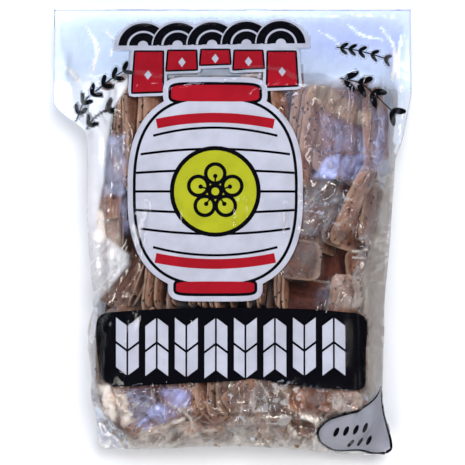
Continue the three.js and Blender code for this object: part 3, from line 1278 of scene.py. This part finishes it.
def build_print(film_top):
    """One object for each ink, on the film."""
    shapes = [(ink, resampled(outline)) for ink, outline in all_shapes()]
    points, edges = print_points(shapes)
    flat = [Vector(point) for point in points]
    corners, _, triangles, *_ = geometry.delaunay_2d_cdt(flat, edges, [], 0, 1e-4)
    corners, triangles = np.array([tuple(c) for c in corners]), np.array(triangles)
    middles = corners[triangles].mean(axis=1)
    owner = np.full(len(triangles), -1)  # the topmost shape over each triangle
    for index, (_, outline) in enumerate(shapes):
        owner[inside(middles, outline)] = index
    heights = film_top(*corners.T)
    heights[np.isnan(heights)] = HIDDEN_HEIGHT
    inks = {}
    for ink in INK_COLOURS:
        mine = [i for i, (name, _) in enumerate(shapes) if name == ink]
        used, faces = np.unique(triangles[np.isin(owner, mine)], return_inverse=True)
        placed_points = np.column_stack([corners[used], heights[used] - PRINT_DEPTH])
        inks[ink] = new_object(f"print_{ink}", placed_points * MM, faces.reshape(-1, 3))
        on_label = (corners[used, 1] < LABEL_TOP) & (corners[used, 0] > 0)
        write_attribute(inks[ink], "darker_label", on_label)
    return inks


# ------------------------------------------------------------------ the film's haze and painted sheen

# The film's haze is laid in patches, margins and creases, all placed after the photo; part of it is
# painted reflection, glare and crease highlights. Each point of the film's front has its strength, and
# how blue, grey and streaky it is.

LEAST_HAZE = 0.003  # of clear film without print

# Patches of the front film that look milky, blue or grey: strength, blueness, greyness and corners in
# mm. The blue ones are painted reflections of a bluish window and the strongest cream ones painted
# glare;
# the grey ones are haze where the film stands off the crackers.
HAZE_AND_REFLECTION_PATCHES = (
    # right of the print, the upper tier
    (0.12, 0.5, 0.1, ((44, 130), (120, 130), (120, 40), (44, 40))),
    (0.28, 0.75, 0.0, ((68, 98), (80, 96), (106, 82), (112, 64), (92, 66), (76, 62))),
    (0.28, 0.0, 0.5, ((58, 130), (67, 128), (115, 95), (112, 85), (90, 93), (64, 105))),
    (0.88, 0.85, 0.0, ((77, 62), (89, 64), (84, 44), (65, 44))),
    (0.55, 0.9, 0.1, ((90, 63), (110, 64), (108, 50), (100, 43), (84, 44))),
    (0.36, 0.75, 0.0, ((116, 104), (127, 102), (126, 50), (114, 48))),
    # the middle tier
    (0.24, 0.2, 0.5, ((44, 38), (84, 42), (92, 22), (70, -3), (48, -4))),
    (0.26, 0.2, 0.9, ((40, -5), (72, -5), (76, -22), (74, -38), (40, -38))),
    (0.07, 0.4, 0.0, ((72, -38), (81, -38), (80, -62), (66, -62))),
    (0.36, 0.1, 0.8, ((81, -37), (96, -37), (97, -63), (81, -63))),
    (0.34, 0.0, 0.3, ((97, -36), (112, -36), (112, -62), (97, -62))),
    # left of the print
    (0.42, 0.6, 0.0, ((-105, 78), (-86, 80), (-88, 30), (-107, 30))),
    (0.40, 0.95, 0.5, ((-92, 24), (-84, 30), (-80, 6), (-90, -2))),
    (1.30, 0.0, 0.0, ((-112, 20), (-106, 17), (-104, -6), (-107, -14), (-114, -8))),
    (0.24, 0.0, 0.3, ((-105, 14), (-94, 6), (-88, -10), (-96, -14), (-105, -10))),
    (0.30, 0.0, 0.6, ((-124, -66), (-114, -66), (-111, -132), (-122, -134))),
    # the bottom
    (0.88, 0.0, 0.0, ((-109, -126), (-99, -126), (-95, -150), (-98, -158), (-106, -146))),
    (0.82, 0.0, 0.1, ((-96, -126), (-86, -132), (-82, -150), (-86, -160), (-91, -158), (-93, -144))),
    (0.42, 0.8, 0.4, ((-87, -128), (-69, -127), (-60, -138), (-77, -158), (-85, -160))),
    (0.64, 1.0, 0.1, ((-60, -128), (-44, -126), (-34, -133), (-37, -143), (-50, -140))),
    (0.72, 0.9, 0.0, ((-64, -139), (-50, -138), (-47, -148), (-60, -158), (-72, -162), (-79, -158))),
    (0.26, 0.0, 0.9, ((-14, -121), (44, -122), (48, -140), (18, -152), (-12, -144))),
    (0.42, 0.0, 0.3, ((-76, -158), (-30, -154), (-18, -168), (-40, -178), (-80, -178))),
    (0.30, 0.0, 0.4, ((-10, -152), (40, -148), (60, -176), (-12, -178))),
    (0.40, 0.0, 0.6, ((80, -129), (108, -130), (116, -138), (104, -144), (82, -148))),
    (0.85, 0.8, 0.85, ((-113, -154), (-106, -152), (-86, -172), (-88, -182), (-112, -182))),
)


class Veil:
    """The haze and the painted reflections and highlights at each point of a grid, where the strongest
    layer is the one that shows.
    """

    def __init__(self, x, y):
        self.x, self.y = x, y
        self.haze_and_sheen, self.blue, self.grey = (np.zeros(x.shape) for _ in range(3))
        beside_print = ease(-84, -90, x) * ease(-110, -90, y)  # on its left
        self.streaky = lerp(1.0, 0.6, np.maximum(ease(40, 60, y), beside_print))

    def lay(self, haze_and_sheen, blue, grey, streaky=None):
        """Lays one more layer; it keeps the streakiness that is there if it has none."""
        stronger = haze_and_sheen > self.haze_and_sheen
        self.haze_and_sheen = np.where(stronger, haze_and_sheen, self.haze_and_sheen)
        self.blue = np.where(stronger, blue, self.blue)
        self.grey = np.where(stronger, grey, self.grey)
        if streaky is not None:
            self.streaky = np.where(stronger, streaky, self.streaky)

    def lay_patches(self):
        """The patches, whose edges follow the facets and whose strengths vary from one to the next."""
        x, y = self.x, self.y
        facet_x, facet_y, share = Facets(9, seed=51).cells(x, y)
        at_bottom = ease(-110, -130, y)
        bent = lerp(0.15, 0.4, at_bottom)
        bent_x, bent_y = lerp(x, facet_x, bent), lerp(y, facet_y, bent)
        varied = lerp(0.6, 0.4, at_bottom) + lerp(0.5, 0.85, at_bottom) * share
        for strength, blue, grey, corners in HAZE_AND_REFLECTION_PATCHES:
            within = inside_any(bent_x, bent_y, [corners])
            self.lay(spread(within.astype(float), 1) * strength * varied, blue, grey)

    def lay_margins(self):
        """Film that stands off at the header, at both sides and at the bottom, and slack film."""
        x, y = self.x, self.y
        slack = 0.4 * slackness(x, y) * ease(0.6, 0.9, Facets(7, seed=53).cells(x, y)[2])
        self.lay(slack, 0.1, 0.4, 1.0)

        right = 0.82 * ease(0, 7, x - margin_edge(RIGHT_MARGIN, y)) * ease(58, 44, y)
        self.lay(right, 0.0, 1.0, 0.3)

        bottom = 0.65 * ease(-163, -176, y + 3 * smooth_noise(x, y, 12, seed=61))
        self.lay(bottom, 0.0, 0.6, 1.0)

        # The left margin's milky white is haze and, in part, painted glints of the crinkled film.
        lower = ease(12, -16, y)
        past_edge = margin_edge(LEFT_MARGIN, y) + 2 * lower - x
        left = lerp(0.9, 0.78, lower) * ease(0, lerp(5, 7, lower), past_edge)
        left = left * ease(-70, -50, y) * ease(134, 116, y)
        self.lay(left, 0.11, 0.3 * lower, lerp(0.16, 0.5, lower))

        # The header's haze grows stronger and bluer towards the top right: painted reflection of a blue
        # sky, and painted shade where it darkens.
        upper, rightmost = ease(128, 158, y), ease(20, 95, x)
        header = (0.34 + 0.13 * upper + 0.2 * rightmost) * ease(112, 126, y)
        header_blue = 0.16 + 0.18 * upper + 0.16 * rightmost + 0.34 * upper * rightmost
        self.lay(header, header_blue, 0.0, 0.12)


# Where the milky film beside the crackers begins, as stations of y and x in mm.
LEFT_MARGIN = (
    (-70, -115), (-62, -111), (-54, -106), (-46, -100), (-35, -91), (-27, -84), (-18, -84),
    (-10, -94), (0, -106), (15, -108), (28, -106), (40, -103), (70, -100), (100, -95), (116, -85),
    (130, -78),
)
RIGHT_MARGIN = (
    (-150, 111), (-130, 107), (-60, 103), (-35, 102), (-20, 108), (0, 112), (20, 116), (56, 128),
)


def margin_edge(stations, y):
    """x of a margin's edge at each y."""
    levels, xs = np.array(stations, float).T
    return np.interp(y, levels, xs)


# Where the film is clear and smooth over dark hollows and brown faces: how clear, how smooth,
# and corners in mm.
WINDOWS = (
    (1.0, 1.0, ((71, -12), (78, -5), (92, -2), (104, -6), (104, -20), (98, -35), (76, -36))),
    (0.2, 1.0, ((40, -4), (72, -6), (78, -22), (76, -46), (40, -46))),
    (1.0, 1.0, ((38, -46), (58, -46), (62, -62), (38, -62))),
    (0.65, 0.65, ((-34, -126), (-6, -124), (2, -150), (-8, -164), (-30, -160))),
    (0.7, 0.7, ((56, -128), (82, -130), (80, -142), (62, -150), (54, -140))),
    (0.65, 0.5, ((102, 50), (124, 50), (120, -2), (94, -2))),
    (0.0, 0.95, ((92, -62), (114, -62), (114, -130), (92, -130))),
)


def window_shares(x, y):
    """How much of the haze, and how much of the fine folds, the windows leave at each point."""
    clouded, creasy = np.ones(x.shape), np.ones(x.shape)
    for clear, smooth, corners in WINDOWS:
        within = spread(inside_any(x, y, [corners]).astype(float), 1)
        clouded = np.minimum(clouded, 1 - clear * within)
        creasy = np.minimum(creasy, 1 - smooth * within)
    return clouded, creasy


# Painted highlights along single creases: strength, width and the points of their line in mm.
CREASE_HIGHLIGHTS = (
    (0.95, 2.4, ((55, -149), (65, -153), (69, -158))),
    (0.95, 2.4, ((69, -152), (70, -164), (67, -177))),
    (0.45, 1.8, ((46, -158), (56, -170), (66, -178))),
    (0.60, 1.1, ((0, -168), (34, -178))),
    (0.50, 1.1, ((2, -166), (26, -172))),
    (0.70, 1.2, ((21, -163), (34, -178))),
    (0.35, 1.3, ((-6, -156), (12, -168))),
    (0.35, 1.2, ((6, -160), (20, -176))),
    (0.60, 2.2, ((-64, -164), (-52, -158), (-40, -152))),
    (0.45, 1.6, ((-78, -172), (-62, -169), (-44, -172))),
    (0.40, 1.6, ((-38, -171), (-24, -164), (-14, -162))),
    (0.50, 1.8, ((-40, -146), (-33, -154), (-35, -166))),
    (0.35, 1.4, ((-58, -158), (-50, -168), (-40, -174))),
    (0.40, 1.2, ((36, -156), (46, -176))),
    (0.30, 1.6, ((-52, -176), (-34, -168), (-20, -176))),
    (0.55, 0.9, ((97, -16), (112, -14), (124, -8))),
    (0.50, 0.8, ((98, -21), (122, -23))),
    (0.30, 0.9, ((100, -27), (120, -30))),
    (0.55, 1.4, ((22, -122), (30, -134))),
    (0.45, 1.6, ((33, -123), (37, -133))),
    (0.30, 1.3, ((10, -130), (6, -150))),
    (0.30, 1.3, ((44, -128), (47, -148))),
    (0.70, 3.0, ((-122, 172), (-112, 152), (-116, 130))),
    (0.62, 3.0, ((-140, 138), (-128, 126), (-122, 112))),
    (0.62, 2.8, ((-106, 168), (-98, 158), (-100, 146))),
    (0.85, 3.2, ((96, 174), (108, 164), (126, 160))),
    (0.95, 3.6, ((124, 172), (136, 150), (133, 126))),
    (0.85, 3.2, ((142, 166), (138, 140), (141, 118))),
    (0.80, 2.8, ((72, 168), (84, 160), (92, 148))),
)


def crease_highlight(x, y, strength, width, line):
    """How strongly a crease's painted highlight shows at each point: it fades to its sides and towards
    its tips.
    """
    line = curve(line)
    lengths = np.append(0, np.cumsum(np.linalg.norm(np.diff(line, axis=0), axis=1)))
    shares = lengths / lengths[-1]
    haze_and_sheen = np.zeros(x.shape)
    for (x0, y0), (x1, y1), share in zip(line, line[1:], shares):
        length = math.hypot(x1 - x0, y1 - y0)
        along = np.clip(((x - x0) * (x1 - x0) + (y - y0) * (y1 - y0)) / length**2, 0, 1)
        off = np.hypot(x - lerp(x0, x1, along), y - lerp(y0, y1, along))
        tapered = width * (0.45 + 0.55 * math.sin(math.pi * (0.1 + 0.8 * share)))
        haze_and_sheen = np.maximum(haze_and_sheen, strength * np.clip(1.25 - off / tapered, 0, 1))
    return haze_and_sheen


def write_film_attributes(film, front):
    """Writes how hazy, slack and mirroring the film is, and where its fine folds run."""
    x, y = front[..., 0], front[..., 1]
    clouded, creasy = window_shares(x, y)
    veil = Veil(x, y)
    veil.lay_patches()
    veil.lay_margins()
    veil.haze_and_sheen = veil.haze_and_sheen * clouded
    # Painted highlights along the listed creases, laid as haze.
    for strength, width, line in CREASE_HIGHLIGHTS:
        veil.lay(crease_highlight(x, y, strength, width, line), 0, 0.12, 1.0)
    printed = inside_any(x, y, [grown(outline, 1.0) for _, outline in all_shapes()])

    steep = 1 - grid_normals(front)[..., 2]
    stiff = stiffness(x, y)
    loose = lerp(PRINT_SLACK, 1, 1 - stiff) * lerp(0.2, 1, creasy)
    slack = slackness(x, y) * loose * lerp(1, 0.4, ease(0.2, 0.5, steep))
    mirror = lerp(1.3 + 0.5 * ease(0.1, 0.5, slack), 0.55, ease(0.1, 0.4, steep))
    mirror = mirror * (1 - 0.6 * stiff) * lerp(0.08, 1, creasy)

    inner = (front.shape[0] - 2) * (front.shape[1] - 2)
    for name, on_front, on_back in (
        ("haze_and_sheen", np.maximum(veil.haze_and_sheen, LEAST_HAZE) * (1 - printed), 0.34),
        ("blue", veil.blue, 0.2),
        ("grey", veil.grey, 0.0),
        ("slack", slack, 0.5),
        ("streaky", veil.streaky, 0.2),
        ("mirror", mirror, 0.5),
    ):
        write_attribute(film, name, np.concatenate([np.ravel(on_front), np.full(inner, on_back)]))
    folds = fold_places(x, y).reshape(-1, 3)
    write_attribute(film, "fold", np.concatenate([folds, np.zeros((inner, 3))]) * MM)


# ------------------------------------------------------------------ materials


def shade(level):
    """A neutral colour."""
    return (level, level, level)


class Material:
    """A node-based material, with short ways to add and link nodes."""

    def __init__(self, name):
        self.made = bpy.data.materials.new(name)
        self.made.use_nodes = True
        self.tree = self.made.node_tree
        self.tree.nodes.clear()
        self.output = self.add("ShaderNodeOutputMaterial")

    def add(self, kind, inputs=None, **settings):
        """Adds a node; its inputs are given by name or number, as values or other outputs."""
        node = self.tree.nodes.new(kind)
        for name, value in settings.items():
            setattr(node, name, value)
        for name, value in (inputs or {}).items():
            self.feed(node.inputs[name], value)
        return node

    def feed(self, socket, value):
        if isinstance(value, bpy.types.NodeSocket):
            self.tree.links.new(value, socket)
        else:
            socket.default_value = value

    def noise(self, scale, detail=4.0, roughness=0.55, vector=None):
        inputs = {"Scale": scale, "Detail": detail, "Roughness": roughness}
        if vector is not None:
            inputs["Vector"] = vector
        return self.add("ShaderNodeTexNoise", inputs).outputs["Fac"]

    def cells(self, scale, vector, feature):
        """Distances in a pattern of random cells."""
        inputs = {"Vector": vector, "Scale": scale}
        return self.add("ShaderNodeTexVoronoi", inputs, feature=feature).outputs["Distance"]

    def stretched(self, vector, scale):
        return self.add("ShaderNodeMapping", {"Vector": vector, "Scale": scale}).outputs["Vector"]

    def place(self, scale=(1, 1, 1)):
        """Object coordinates, in metres, stretched."""
        return self.stretched(self.add("ShaderNodeTexCoord").outputs["Object"], scale)

    def ramp(self, value, *stops):
        """A colour that changes with a value, by stops of a position and a colour."""
        node = self.add("ShaderNodeValToRGB", {"Fac": value})
        elements = node.color_ramp.elements
        while len(elements) < len(stops):
            elements.new(0.5)
        for element, (position, colour) in zip(elements, stops):
            element.position = position
            element.color = (*colour, 1)
        return node.outputs["Color"]

    def mix(self, share, a, b, blend="MIX"):
        node = self.add("ShaderNodeMix", data_type="RGBA", blend_type=blend)
        for name, value in (("Factor", share), ("A", a), ("B", b)):
            socket = [s for s in node.inputs if s.name == name and s.enabled][0]
            if not isinstance(value, bpy.types.NodeSocket) and name != "Factor":
                value = (*value, 1)
            self.feed(socket, value)
        return [s for s in node.outputs if s.enabled][0]

    def maths(self, operation, values, clamp):
        """Works through values from the first on: a op b, then that op c, and so on."""
        result, *others = values
        for other in others:
            inputs = {0: result, 1: other}
            node = self.add("ShaderNodeMath", inputs, operation=operation, use_clamp=clamp)
            result = node.outputs[0]
        return result

    def total(self, *terms, clamp=False):
        return self.maths("ADD", terms, clamp)

    def product(self, *factors, clamp=False):
        return self.maths("MULTIPLY", factors, clamp)

    def attribute(self, name, kind="Fac"):
        return self.add("ShaderNodeAttribute", attribute_name=name).outputs[kind]

    def bump(self, height, strength, distance):
        inputs = {"Height": height, "Strength": strength, "Distance": distance}
        return self.add("ShaderNodeBump", inputs).outputs["Normal"]

    def shader(self, kind, inputs):
        return self.add(f"ShaderNode{kind}", inputs).outputs[0]

    def surface(self, shader):
        """Ends the material in a shader."""
        self.feed(self.output.inputs["Surface"], shader)
        return self.made

    def principled(self, inputs):
        """Ends the material in a principled surface."""
        return self.surface(self.shader("BsdfPrincipled", inputs))


FILM_TINT = (0.972, 0.970, 0.972)  # what one layer lets through


HAZE_AND_REFLECTION_COLOURS = (  # of the film's haze and painted reflections by blueness: cream glare, sky blue and lilac
    (0.0, (0.90, 0.85, 0.77)),
    (0.2, (0.555, 0.667, 0.80)),
    (1.0, (0.34, 0.38, 0.70)),
)
HAZE_GREY = (0.26, 0.235, 0.205)


def film_creases(m, fold, slack):
    """Thin lines between the cells of a pattern, here and there, where the film is slack; they raise
    its relief and are also painted as bright highlights in its haze.
    """
    lines = m.ramp(m.cells(105, fold, "DISTANCE_TO_EDGE"), (0.0, shade(1)), (0.06, shade(0)))
    broken = m.ramp(m.noise(45, detail=1, vector=m.place()), (0.47, shade(0)), (0.56, shade(1)))
    return m.product(lines, broken, slack, slack)


def film_material():
    """Clear film, with a mirror-like face, fine folds, and streaked haze where it stands off; the haze
    also carries painted reflections and painted highlights on creases and crests.
    """
    m = Material("clear_film")
    slack, fold = m.attribute("slack"), m.attribute("fold", "Vector")
    broad = m.noise(120, detail=2, roughness=0.5, vector=fold)
    fine = m.noise(330, detail=4, roughness=0.6, vector=fold)
    cones = m.cells(130, fold, "F1")
    creases = film_creases(m, fold, slack)
    ripples = m.noise(260, detail=3, vector=m.place((1, 0.6, 1)))
    folds = m.total(cones, m.product(fine, 0.8), m.product(broad, 1.8))
    relief = m.total(m.product(ripples, 0.3), m.product(folds, slack), creases)
    normal = m.bump(relief, 0.45, 0.0006)

    streaks = m.ramp(broad, (0.38, shade(0.45)), (0.62, shade(1.35)))
    veil = m.product(m.attribute("haze_and_sheen"), m.mix(m.attribute("streaky"), shade(1), streaks))
    # Painted highlights on the crests of the fine folds and, weaker, along the crease lines, laid into
    # the haze.
    crest_highlights = m.product(m.ramp(fine, (0.62, shade(0)), (0.76, shade(0.22))), slack)
    haze_and_sheen_share = m.total(veil, m.total(crest_highlights, m.product(creases, 0.2)), clamp=True)
    haze_and_reflection_colour = m.ramp(m.attribute("blue"), *HAZE_AND_REFLECTION_COLOURS)
    colour = {"Color": m.mix(m.attribute("grey"), haze_and_reflection_colour, HAZE_GREY)}
    lit_above, lit_below = m.shader("BsdfDiffuse", colour), m.shader("BsdfTranslucent", colour)
    haze_and_sheen = m.shader("AddShader", {0: lit_above, 1: lit_below})

    clear = m.shader("BsdfTransparent", {"Color": (*FILM_TINT, 1)})
    shine = m.shader("BsdfGlossy", {"Color": (1, 1, 1, 1), "Roughness": 0.07, "Normal": normal})
    fresnel = m.add("ShaderNodeFresnel", {"IOR": 1.5, "Normal": normal}).outputs["Fac"]
    mirrored = m.product(fresnel, m.attribute("mirror"), clamp=True)
    hazy = m.shader("MixShader", {0: haze_and_sheen_share, 1: clear, 2: haze_and_sheen})
    return m.surface(m.shader("MixShader", {0: mirrored, 1: hazy, 2: shine}))


DOUGH = (  # from the darkest spots to the palest
    (0.34, (0.080, 0.024, 0.012)),
    (0.46, (0.19, 0.078, 0.044)),
    (0.56, (0.32, 0.165, 0.102)),
    (0.68, (0.50, 0.34, 0.24)),
)
TOASTED_EDGE = (0.47, 0.325, 0.235)
TONE_AND_SHADE_TINTS = (  # by which a tile's dough is multiplied, from a dark tile to a pale one; the dark end is also painted shade
    (0.0, (0.28, 0.115, 0.065)),
    (0.5, (0.90, 0.82, 0.80)),
    (1.0, (1.5, 1.38, 1.22)),
)


def cracker_material():
    """Toasted dough: streaked and mottled red-brown, paler and golden at the tiles' edges."""
    m = Material("toasted_cracker")
    place = m.attribute("texture", "Vector")
    streaks = m.noise(260, detail=5, roughness=0.6, vector=m.stretched(place, (0.16, 1, 1)))
    mottle = m.noise(62, detail=6, roughness=0.62, vector=place)
    pores = m.noise(520, detail=3, vector=place)
    dough = m.ramp(m.total(m.product(mottle, 0.62), m.product(streaks, 0.38)), *DOUGH)
    batch = m.ramp(m.attribute("batch"), *TONE_AND_SHADE_TINTS)
    varied = m.mix(1.0, dough, batch, "MULTIPLY")
    toast = m.ramp(m.attribute("toast"), (0.55, shade(0)), (1.0, shade(0.75)))
    patchy = m.ramp(mottle, (0.3, shade(0.4)), (0.6, shade(1)))
    relief = m.total(mottle, m.product(streaks, 0.8), m.product(pores, 0.5))
    return m.principled({
        "Base Color": m.mix(m.product(toast, patchy), varied, TOASTED_EDGE),
        "Roughness": 0.5,
        "Coat Weight": 0.25,
        "Coat Roughness": 0.3,
        "Normal": m.bump(relief, 1.0, 0.0012),
    })


GRAIN_COLOURS = {  # from the darkest grain to the palest
    "sesame": ((0.0, (0.022, 0.013, 0.010)), (0.5, (0.035, 0.022, 0.016)), (1.0, (0.09, 0.055, 0.035))),
    "crumbs": ((0.0, (0.22, 0.12, 0.07)), (0.6, (0.36, 0.23, 0.15)), (1.0, (0.55, 0.42, 0.3))),
}


def grain_material(name):
    """Small loose grains, whose tone varies from one to the next."""
    m = Material(name)
    tone = m.ramp(m.attribute("tone"), *GRAIN_COLOURS[name])
    worn = m.mix(m.noise(300, vector=m.place()), tone, (0.3, 0.2, 0.12), "MULTIPLY")
    return m.principled({"Base Color": m.mix(0.25, tone, worn), "Roughness": 0.5})


INK_COLOURS = {
    "white": (0.50, 0.51, 0.58),
    "black": (0.0015, 0.0015, 0.003),
    "red": (0.36, 0.008, 0.018),
    "yellow": (0.42, 0.44, 0.02),
}


def ink_material(ink):
    """Matt ink, slightly uneven, and darker on the label."""
    m = Material(f"{ink}_ink")
    colour, worn, darker_label = (tuple(share * c for c in INK_COLOURS[ink]) for share in (1, 0.86, 0.78))
    uneven = m.ramp(m.noise(60, detail=4, vector=m.place()), (0.35, worn), (0.65, colour))
    grained = m.noise(900, detail=2, vector=m.place())
    return m.principled({
        "Base Color": m.mix(m.attribute("darker_label"), uneven, darker_label),
        "Roughness": 0.6,
        "Specular IOR Level": 0.05,
        "Normal": m.bump(grained, 0.15, 0.0002),
    })


def floor_material():
    """A matt white table, very slightly uneven."""
    m = Material("white_table")
    tone = m.ramp(m.noise(3, detail=2), (0.3, (0.9, 0.905, 0.91)), (0.7, (0.93, 0.93, 0.93)))
    return m.principled({"Base Color": tone, "Roughness": 0.8})


# ------------------------------------------------------------------ stage, light, camera


def build_floor():
    """The white table under the bag."""
    half = 3.0
    corners = [(-half, -half, 0), (half, -half, 0), (half, half, 0), (-half, half, 0)]
    floor = new_object("table", corners, [(0, 1, 2, 3)], smooth=False)
    floor.data.materials.append(floor_material())


def add_softbox(name, place, size, radiance, colour, mirrored=True, lights=True):
    """A rectangular lamp that faces the bag, which the film mirrors, gets light from, or both."""
    light = bpy.data.lights.new(name, "AREA")
    light.shape = "RECTANGLE"
    light.size, light.size_y = size
    light.energy = radiance * math.pi * size[0] * size[1]
    light.color = colour
    lamp = bpy.data.objects.new(name, light)
    lamp.location = place
    towards_bag = Vector((0, 0, 0.04)) - Vector(place)
    lamp.rotation_euler = towards_bag.to_track_quat("-Z", "Y").to_euler()
    lamp.visible_glossy = mirrored
    lamp.visible_diffuse = lights
    bpy.context.scene.collection.objects.link(lamp)


# The panels that the crumpled film mirrors, all round the bag: turn from the x axis, height above
# the table, width, depth, radiance and colour.
MIRRORED = (
    (0, 1.45, 0.16, 0.7, 9, (1.0, 0.93, 0.84)),
    (38, 1.30, 0.50, 0.3, 6, (0.72, 0.78, 1.0)),
    (80, 1.35, 0.20, 0.5, 9, (0.75, 0.8, 1.0)),
    (125, 1.40, 0.60, 0.3, 6, (0.66, 0.72, 1.0)),
    (176, 1.35, 0.16, 0.7, 11, (1.0, 0.96, 0.92)),
    (222, 1.45, 0.40, 0.3, 8, (0.8, 0.84, 1.0)),
    (262, 1.40, 0.50, 0.2, 12, (1.0, 0.95, 0.9)),
    (315, 1.40, 0.20, 0.5, 14, (1.0, 0.94, 0.86)),
)
PANEL_REACH = 1.15  # metres, of the panels from the middle

# The big lamps: place, size, radiance and colour.
LAMPS = {
    "overhead": ((0.45, 0.7, 2.1), (1.3, 1.3), 8.0, (1.0, 0.98, 0.96)),
    "fill": ((-0.75, -1.1, 1.7), (1.6, 1.2), 4.6, (1.0, 0.98, 0.97)),
    "sky": ((0, 1.25, 2.0), (2.4, 1.3), 2.4, (0.62, 0.74, 1.0)),
}


def build_light():
    """A dim blue room with three big soft lamps, and a ring of panels that only the film mirrors."""
    world = bpy.data.worlds.new("studio")
    world.use_nodes = True
    background = world.node_tree.nodes["Background"]
    background.inputs["Color"].default_value = (0.55, 0.65, 1.0, 1)
    background.inputs["Strength"].default_value = 0.06
    bpy.context.scene.world = world
    for name, lamp in LAMPS.items():
        add_softbox(name, *lamp, mirrored=False)
    for index, (turn, height, width, depth, radiance, colour) in enumerate(MIRRORED):
        angle = math.radians(turn)
        place = (PANEL_REACH * math.cos(angle), PANEL_REACH * math.sin(angle), height)
        add_softbox(f"panel_{index}", place, (width, depth), radiance, colour, lights=False)


def build_camera():
    """Straight above the bag. view_width is how much the picture spans at view_level."""
    view_width, view_level, height = 0.3864, 0.04, 1.6
    data = bpy.data.cameras.new("camera")
    data.sensor_width = 36
    data.lens = data.sensor_width * (height - view_level) / view_width
    camera = bpy.data.objects.new("camera", data)
    camera.location = (0, -0.0004, height)
    bpy.context.scene.collection.objects.link(camera)
    bpy.context.scene.camera = camera


# ------------------------------------------------------------------ the whole


HEADER_START = (112, 132)  # y, over which the body passes into the header
PUFFED = 0.85  # how far the header's film goes back to the CAD solid's face after the simulation


def build_crackers(room):
    """The crackers, in the order in which their random draws follow each other."""
    crackers = Crackers(room)
    for lay in (stack_tiles, place_tiles, lay_floor_tiles, scatter_pieces):
        lay(crackers)
    return crackers.made()


def build_film(tiles, room):
    """The film round the crackers, simulated and crumpled."""
    filled, back = film_grids(Outline(BAG))
    front = filled
    front, back = simulate_film(filled, back, tiles, room)
    in_header = ease(*HEADER_START, filled[..., 1])[..., None]
    front = lerp(front, filled, PUFFED * in_header)
    front = crumpled_front(refined(front, FINER), height_reader(tiles))
    back = crumpled_back(refined(back, FINER))
    front = parted(front, back)
    film = film_object("film", front, back)
    write_film_attributes(film, front)
    return film


def build():
    bpy.context.scene.view_settings.view_transform = "Standard"
    bpy.context.scene.cycles.transparent_max_bounces = 24
    build_camera()
    build_light()
    build_floor()

    room = Room(BAG)
    tiles = build_crackers(room)
    seeds = sesame_seeds(tiles)
    film = build_film(tiles, room)
    bits = crumbs(Room(film))
    inks = build_print(height_reader(film))

    pieces = [
        (film, "clear_film", film_material()),
        (tiles, "cracker", cracker_material()),
        (seeds, "sesame", grain_material("sesame")),
        (bits, "cracker", grain_material("crumbs")),
    ]
    pieces += [(made, f"{ink}_ink", ink_material(ink)) for ink, made in inks.items()]
    for made, slot, material in pieces:
        made.data.materials.append(material)
        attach(made, "root")
    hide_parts("cracker_bag")


build()
